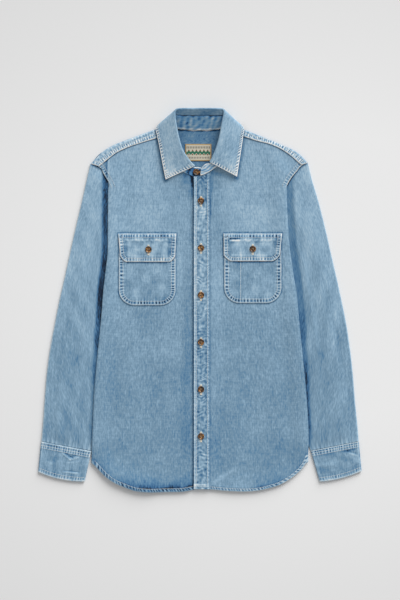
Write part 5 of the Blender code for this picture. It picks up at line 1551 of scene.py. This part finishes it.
thread = thread_material("cotton thread", *THREAD_TONES)
for side, word in ((-1, "right"), (1, "left")):
    body = top_of([fronts[side], yoke, placket] if side > 0 else [fronts[side], yoke])
    rows = [beside(smooth_line(side, HEM[side], 120), side * HEM_ROW_MM[side])]
    rows += [beside(yoke_edge(side), side * row) for row in YOKE_ROWS_MM]
    arm = smooth_line(side, ARMHOLE[side][:6])
    rows += [beside(arm[arm[:, 1] > ARM_STITCHED_Y], -side * row) for row in ARM_ROWS_MM]
    threads("stitches_front_" + word, stitches(body, rows, 140), thread)

    bag, flap = top_of([pockets[side]]), top_of([flaps[side]])
    near, far, high, _, _, _, _ = POCKET[side]
    strands = stitches(bag, [pocket_line(side, row) for row in POCKET_ROWS_MM], 150, 0)
    strands += stitches(flap, [flap_line(side, row) for row in FLAP_ROWS_MM], 152, 0)
    strands += stitches(flap, [[(side * (near + 2), high - row), (side * (far - 2), high - row)]
                               for row in FLAP_ROWS_MM], 154, 0)
    if side > 0:
        strands += stitches(bag, [[(PEN_ROW_X, end) for end in PEN_ROW_ENDS]], 156)
    threads("stitches_pocket_" + word, strands, thread)

    outer, inner, low_outer, low_middle, low_inner = (np.array(p) for p in CUFF[side])
    t = np.linspace(0, 1, 40)[:, None]
    seam_line = mix(outer, inner, t) * np.array([side, 1])
    low_line = mix(low_outer, low_inner, t) + (low_middle - mix(low_outer, low_inner, 0.5)) * 4 * t * (1 - t)
    low_line = low_line * np.array([side, 1])
    rows = [beside(seam_line, side * row) for row in CUFF_ROWS_MM[side]]
    rows.append(beside(low_line, -side * CUFF_LOW_ROW_MM))
    threads("stitches_cuff_" + word, stitches(top_of([cuffs[side]]), rows, 160), thread)

strip_top = top_of([placket])
rows = [[(x, end) for end in PLACKET_ROW_ENDS]
        for x in (PLACKET_LEFT + PLACKET_LEFT_ROW, PLACKET_RIGHT - PLACKET_RIGHT_ROW)]
rows.append(list(zip((PLACKET_LEFT + 1, PLACKET_RIGHT - 1), PLACKET_CROSS_ROW)))
threads("stitches_placket", stitches(strip_top, rows, 170), thread)

# above this y the leaf's edge is turned under behind the neck, and its row doesn't show
LEAF_ROW_TOP_Y = 370.0
LEAF_END_COLUMNS = 25
inner_edge = np.array([row[np.searchsorted(-far_row, -LEAF_ROW_MM), :2]
                       for row, far_row in zip(leaf_grid, edge_far)])
keep = (end_far[:, -1] > LEAF_ROW_MM) & (inner_edge[:, 1] < LEAF_ROW_TOP_Y)
half = len(inner_edge) // 2
rows = [inner_edge[:half][keep[:half]], inner_edge[half:][keep[half:]]]
for order in (1, -1):
    near_end, its_far = leaf_grid[::order][:LEAF_END_COLUMNS], end_far[::order][:LEAF_END_COLUMNS]
    place = np.array([[np.interp(LEAF_ROW_MM, its_far[:, k], near_end[:, k, axis]) for axis in (0, 1)]
                      for k in range(near_end.shape[1])])
    rows.append(place[(down[::order][0] > 30) & (edge_far[::order][0] > LEAF_ROW_MM)])
threads("stitches_collar", stitches(top_of([leaf]), rows, 180), thread)

# Buttons.
# Four-hole buttons of polished brown tortoiseshell, cast resin, 14 mm across with a raised rim and
# a dished face. Each is sewn on with tan thread and sits in a worked buttonhole.
BUTTON_RADIUS = 7.0
BUTTON_TOP_Y = 211.0
BUTTON_STEP = 100.2
BUTTON_X = 2.1
PLACKET_BUTTONS = 6
STAND_BUTTON = (-7.5, 272.2, 7.05)
# radius and height round the rim, from underneath over the top to the dish
BUTTON_PROFILE = ((5.2, 0.0), (6.4, 0.35), (6.85, 0.8), (7.0, 1.4), (6.8, 1.95), (6.4, 2.3), (5.9, 2.4),
                  (5.3, 2.32), (4.9, 2.0), (4.4, 1.75), (3.8, 1.68))
DISH_Z, HOLE_APART, HOLE_RADIUS, HOLE_DEEP = 1.66, 1.35, 0.75, 1.0
BUTTON_TURNS = 48
# the dish: radius of its outer and inner rings, and how many rings
DISH = (3.5, 0.3, 14)
BUTTON_SPINS = (0.1, -0.25, 0.3, 0.05, -0.15, 0.2, 0.0, 0.12, 0.3)
SHELL_TONES = ((0.32, "#1b110a"), (0.46, "#3d2916"), (0.57, "#7d5226"), (0.7, "#c08e4c"))
BUTTONHOLE_LONG = 21.5
BUTTON_HANGS = -1.2
BAR_RADIUS = 0.5
BUTTON_THREAD_RADIUS = 0.26
TAN_TONES = "#c7b294", "#8f7757"
CREAM_TONES = "#efebdf", "#c9c5b8"


def tortoiseshell():
    """Cast resin with clouds of amber and dark brown, polished."""
    material, tree, shader = surface("tortoiseshell resin", 0.22, IOR=1.5, Coat_Weight=0.3, Coat_Roughness=0.1)
    place = add(tree, "NewGeometry").outputs["Position"]
    cloud = add(tree, "TexNoise", {"Vector": place, "Scale": 1 / (5.5 * MM), "Detail": 2.0, "Distortion": 0.8})
    ramp = add(tree, "ValToRGB", {0: cloud.outputs[0]})
    set_stops(ramp, [(place, linear(code)) for place, code in SHELL_TONES])
    tree.links.new(ramp.outputs[0], shader.inputs["Base Color"])
    return material


def button(name, node, place, material, spin):
    """One turned button: a lathed rim, and a dished face with four sunk holes."""
    turn = np.linspace(0, 2 * math.pi, BUTTON_TURNS, endpoint=False)
    rings = [(radius, np.full(BUTTON_TURNS, z)) for radius, z in BUTTON_PROFILE]
    for radius in np.linspace(*DISH):
        x, y = radius * np.cos(turn + spin), radius * np.sin(turn + spin)
        near = np.hypot(np.abs(x) - HOLE_APART, np.abs(y) - HOLE_APART)
        rings.append((radius, DISH_Z - HOLE_DEEP * (1 - step((near - HOLE_RADIUS + 0.15) / 0.3))))
    points = [(radius * math.cos(a), radius * math.sin(a), z) for radius, heights in rings
              for a, z in zip(turn, heights)]
    faces = []
    for ring in range(len(rings) - 1):
        for k in range(BUTTON_TURNS):
            n = (k + 1) % BUTTON_TURNS
            a, b = ring * BUTTON_TURNS + k, ring * BUTTON_TURNS + n
            faces.append((a, b, b + BUTTON_TURNS, a + BUTTON_TURNS))
    faces.append(tuple(range(BUTTON_TURNS - 1, -1, -1)))
    faces.append(tuple((len(rings) - 1) * BUTTON_TURNS + k for k in range(BUTTON_TURNS)))
    mesh = bpy.data.meshes.new(name)
    mesh.from_pydata(((np.array(points) + np.array(place)) * MM).tolist(), [], faces)
    mesh.shade_smooth()
    return placed(name, mesh, material, "button", node)


def button_threads(place, spin):
    """Two strands of thread across the holes of a button."""
    made = []
    for a in (-1, 1):
        for shift in (-0.22, 0.22):
            ends = np.array([(a * HOLE_APART + shift, -HOLE_APART), (a * HOLE_APART + shift, HOLE_APART)])
            t = np.array([0, 0.15, 0.5, 0.85, 1])[:, None]
            flat = mix(ends[0], ends[1], t)
            c, s = math.cos(spin), math.sin(spin)
            flat = flat @ np.array([[c, -s], [s, c]])
            z = place[2] + np.array([1.1, 1.75, 2.0, 1.75, 1.1])
            path = np.column_stack([flat + np.array(place[:2]), z])
            made.append(strand(path, np.full(len(path), BUTTON_THREAD_RADIUS)))
    return made


def buttonhole(tree, place):
    """A worked buttonhole: close stitches across both lips and a bar at each end."""
    made = []
    half = BUTTONHOLE_LONG / 2
    bars = [(lip * 1.1, at, 1.2) for at in np.arange(-half, half, 0.8) for lip in (-1, 1)]
    bars += [(0.0, end * (half - inward), 2.3) for end in (-1, 1) for inward in (0.0, 0.8, 1.6, 2.4)]
    for off, at, wide in bars:
        if abs(at + BUTTON_HANGS) < BUTTON_RADIUS - 1.5:
            continue
        ends = [(off - wide, at), (off - wide * 0.4, at + 0.1), (off + wide * 0.4, at + 0.1), (off + wide, at)]
        plan = np.array(ends) + np.array(place)
        made += laid(tree, plan, (-0.15, 0.22, 0.22, -0.15), np.array([0.7, 1, 1, 0.7]) * BAR_RADIUS)
    return made


shell = tortoiseshell()
tan_thread = thread_material("tan thread", *TAN_TONES)
cream_thread = thread_material("cream thread", *CREAM_TONES)
buttons_z = OVER_Z + CLOTH / 2 + SEAM + DOUBLED + SEAM
all_buttons = [("placket_%d" % (n + 1), (BUTTON_X, BUTTON_TOP_Y - n * BUTTON_STEP, buttons_z), strip_top)
               for n in range(PLACKET_BUTTONS)]
for side, word in ((-1, "right"), (1, "left")):
    _, _, _, _, _, button_out, button_y = POCKET[side]
    at = float(front_z(side, np.array([button_out]), np.array([button_y]))[0])
    stack = CLOTH / 2 + SEAM + CLOTH + SEAM + DOUBLED + POCKET_LIFT + SEAM
    all_buttons.append(("pocket_" + word, (side * button_out, button_y, at + stack), top_of([flaps[side]])))
all_buttons.append(("stand", STAND_BUTTON, None))
sewn_on, holes = [], []
for spin, (word, place, lies_on) in zip(BUTTON_SPINS, all_buttons):
    button("shirt_button_" + word, "button_" + word, place, shell, spin)
    sewn_on += button_threads(place, spin)
    if lies_on is not None:
        holes += buttonhole(lies_on, (place[0], place[1] + BUTTON_HANGS))
threads("button_threads", sewn_on, tan_thread)
threads("buttonholes", holes, cream_thread)

# Neck label.
# A small woven ribbon label, sewn flat inside the neck. It is kept generic: a cream ground with a
# tan border, a green zigzag band and two dotted lines, and no words.
LABEL_X, LABEL_Y = -3.7, 314.0
LABEL_WIDE, LABEL_HIGH, LABEL_THICK = 56.0, 36.4, 1.0
LABEL_MARGIN = 2.4
LABEL_GROUND, LABEL_BORDER, LABEL_GREEN = "#c9c3b0", "#b09468", "#2a6a52"
LABEL_GREY, LABEL_BROWN = "#6f6d66", "#7d4f33"


def label_material():
    """Damask-woven polyester ribbon: fine ribs across, a soft shine, colours changed thread by thread."""
    material, tree, shader = surface("woven label", 0.6, Specular_IOR_Level=0.35, Sheen_Weight=0.1)
    weave = add(tree, "UVMap", uv_map="weave").outputs[0]
    in_mm = add(tree, "VectorMath", {0: weave, "Scale": 1 / MM}, operation="SCALE").outputs[0]
    parts = add(tree, "SeparateXYZ", {0: in_mm})
    x, y = parts.outputs[0], parts.outputs[1]
    wide = add(tree, "Math", {0: x, 1: 0.0, 2: LABEL_WIDE / 2 - LABEL_MARGIN}, operation="COMPARE").outputs[0]
    field = add(tree, "Math", {0: y, 1: 0.0, 2: LABEL_HIGH / 2 - LABEL_MARGIN}, operation="COMPARE").outputs[0]
    field = add(tree, "Math", {0: field, 1: wide}, operation="MULTIPLY").outputs[0]
    saw = add(tree, "Math", {0: x, 1: 4.0}, operation="PINGPONG").outputs[0]
    rows = add(tree, "Math", {0: y, 1: 4.6}, operation="PINGPONG").outputs[0]
    zigzag = add(tree, "Math", {0: y, 1: saw}, operation="SUBTRACT").outputs[0]
    diamond = add(tree, "Math", {0: rows, 1: saw}, operation="ADD").outputs[0]
    short = add(tree, "Math", {0: x, 1: 1.7}, operation="PINGPONG").outputs[0]
    colour = linear(LABEL_BORDER)
    # each figure lies where a value is near enough to a number, within the field and a range of y
    figures = ((x, 0.0, 40.0, 0.0, 20.0, LABEL_GROUND), (short, 0.0, 0.95, 10.8, 2.5, LABEL_GREY),
               (short, 1.7, 0.9, -11.0, 2.0, LABEL_GREY), (zigzag, -2.2, 3.2, 0.0, 7.4, LABEL_GREEN),
               (diamond, 8.2, 1.5, -0.4, 7.2, LABEL_BROWN))
    for value, middle, reach, at, high, code in figures:
        near = add(tree, "Math", {0: value, 1: middle, 2: reach}, operation="COMPARE").outputs[0]
        level = add(tree, "Math", {0: y, 1: at, 2: high}, operation="COMPARE").outputs[0]
        both = add(tree, "Math", {0: near, 1: level}, operation="MULTIPLY").outputs[0]
        here = add(tree, "Math", {0: both, 1: field}, operation="MULTIPLY").outputs[0]
        colour = add(tree, "Mix", {0: here, 6: colour, 7: linear(code)}, data_type="RGBA").outputs[2]
    tree.links.new(colour, shader.inputs["Base Color"])
    ribs = add(tree, "TexWave", {"Vector": weave, "Scale": 1 / (0.8 * MM) / 20}, bands_direction="Y").outputs[1]
    bump = add(tree, "Bump", {"Height": ribs, "Strength": 0.3, "Distance": 0.1 * MM})
    tree.links.new(bump.outputs[0], shader.inputs["Normal"])
    return material


label_x = places((LABEL_WIDE, 1.4)) - LABEL_WIDE / 2
label_y = places((LABEL_HIGH, 1.4)) - LABEL_HIGH / 2
grid_y, grid_x = np.meshgrid(label_y, label_x, indexing="ij")
label_z = CLOTH + SEAM + LABEL_THICK / 2 + 0.12 * ripples(grid_x, grid_y, 22, 191)
label = cloth("shirt_label", "label", np.dstack([grid_x + LABEL_X, grid_y + LABEL_Y, label_z]),
              thick=LABEL_THICK, face=(5, 0.5), weave=np.dstack([grid_x, grid_y]),
              material=label_material(), slot="label")
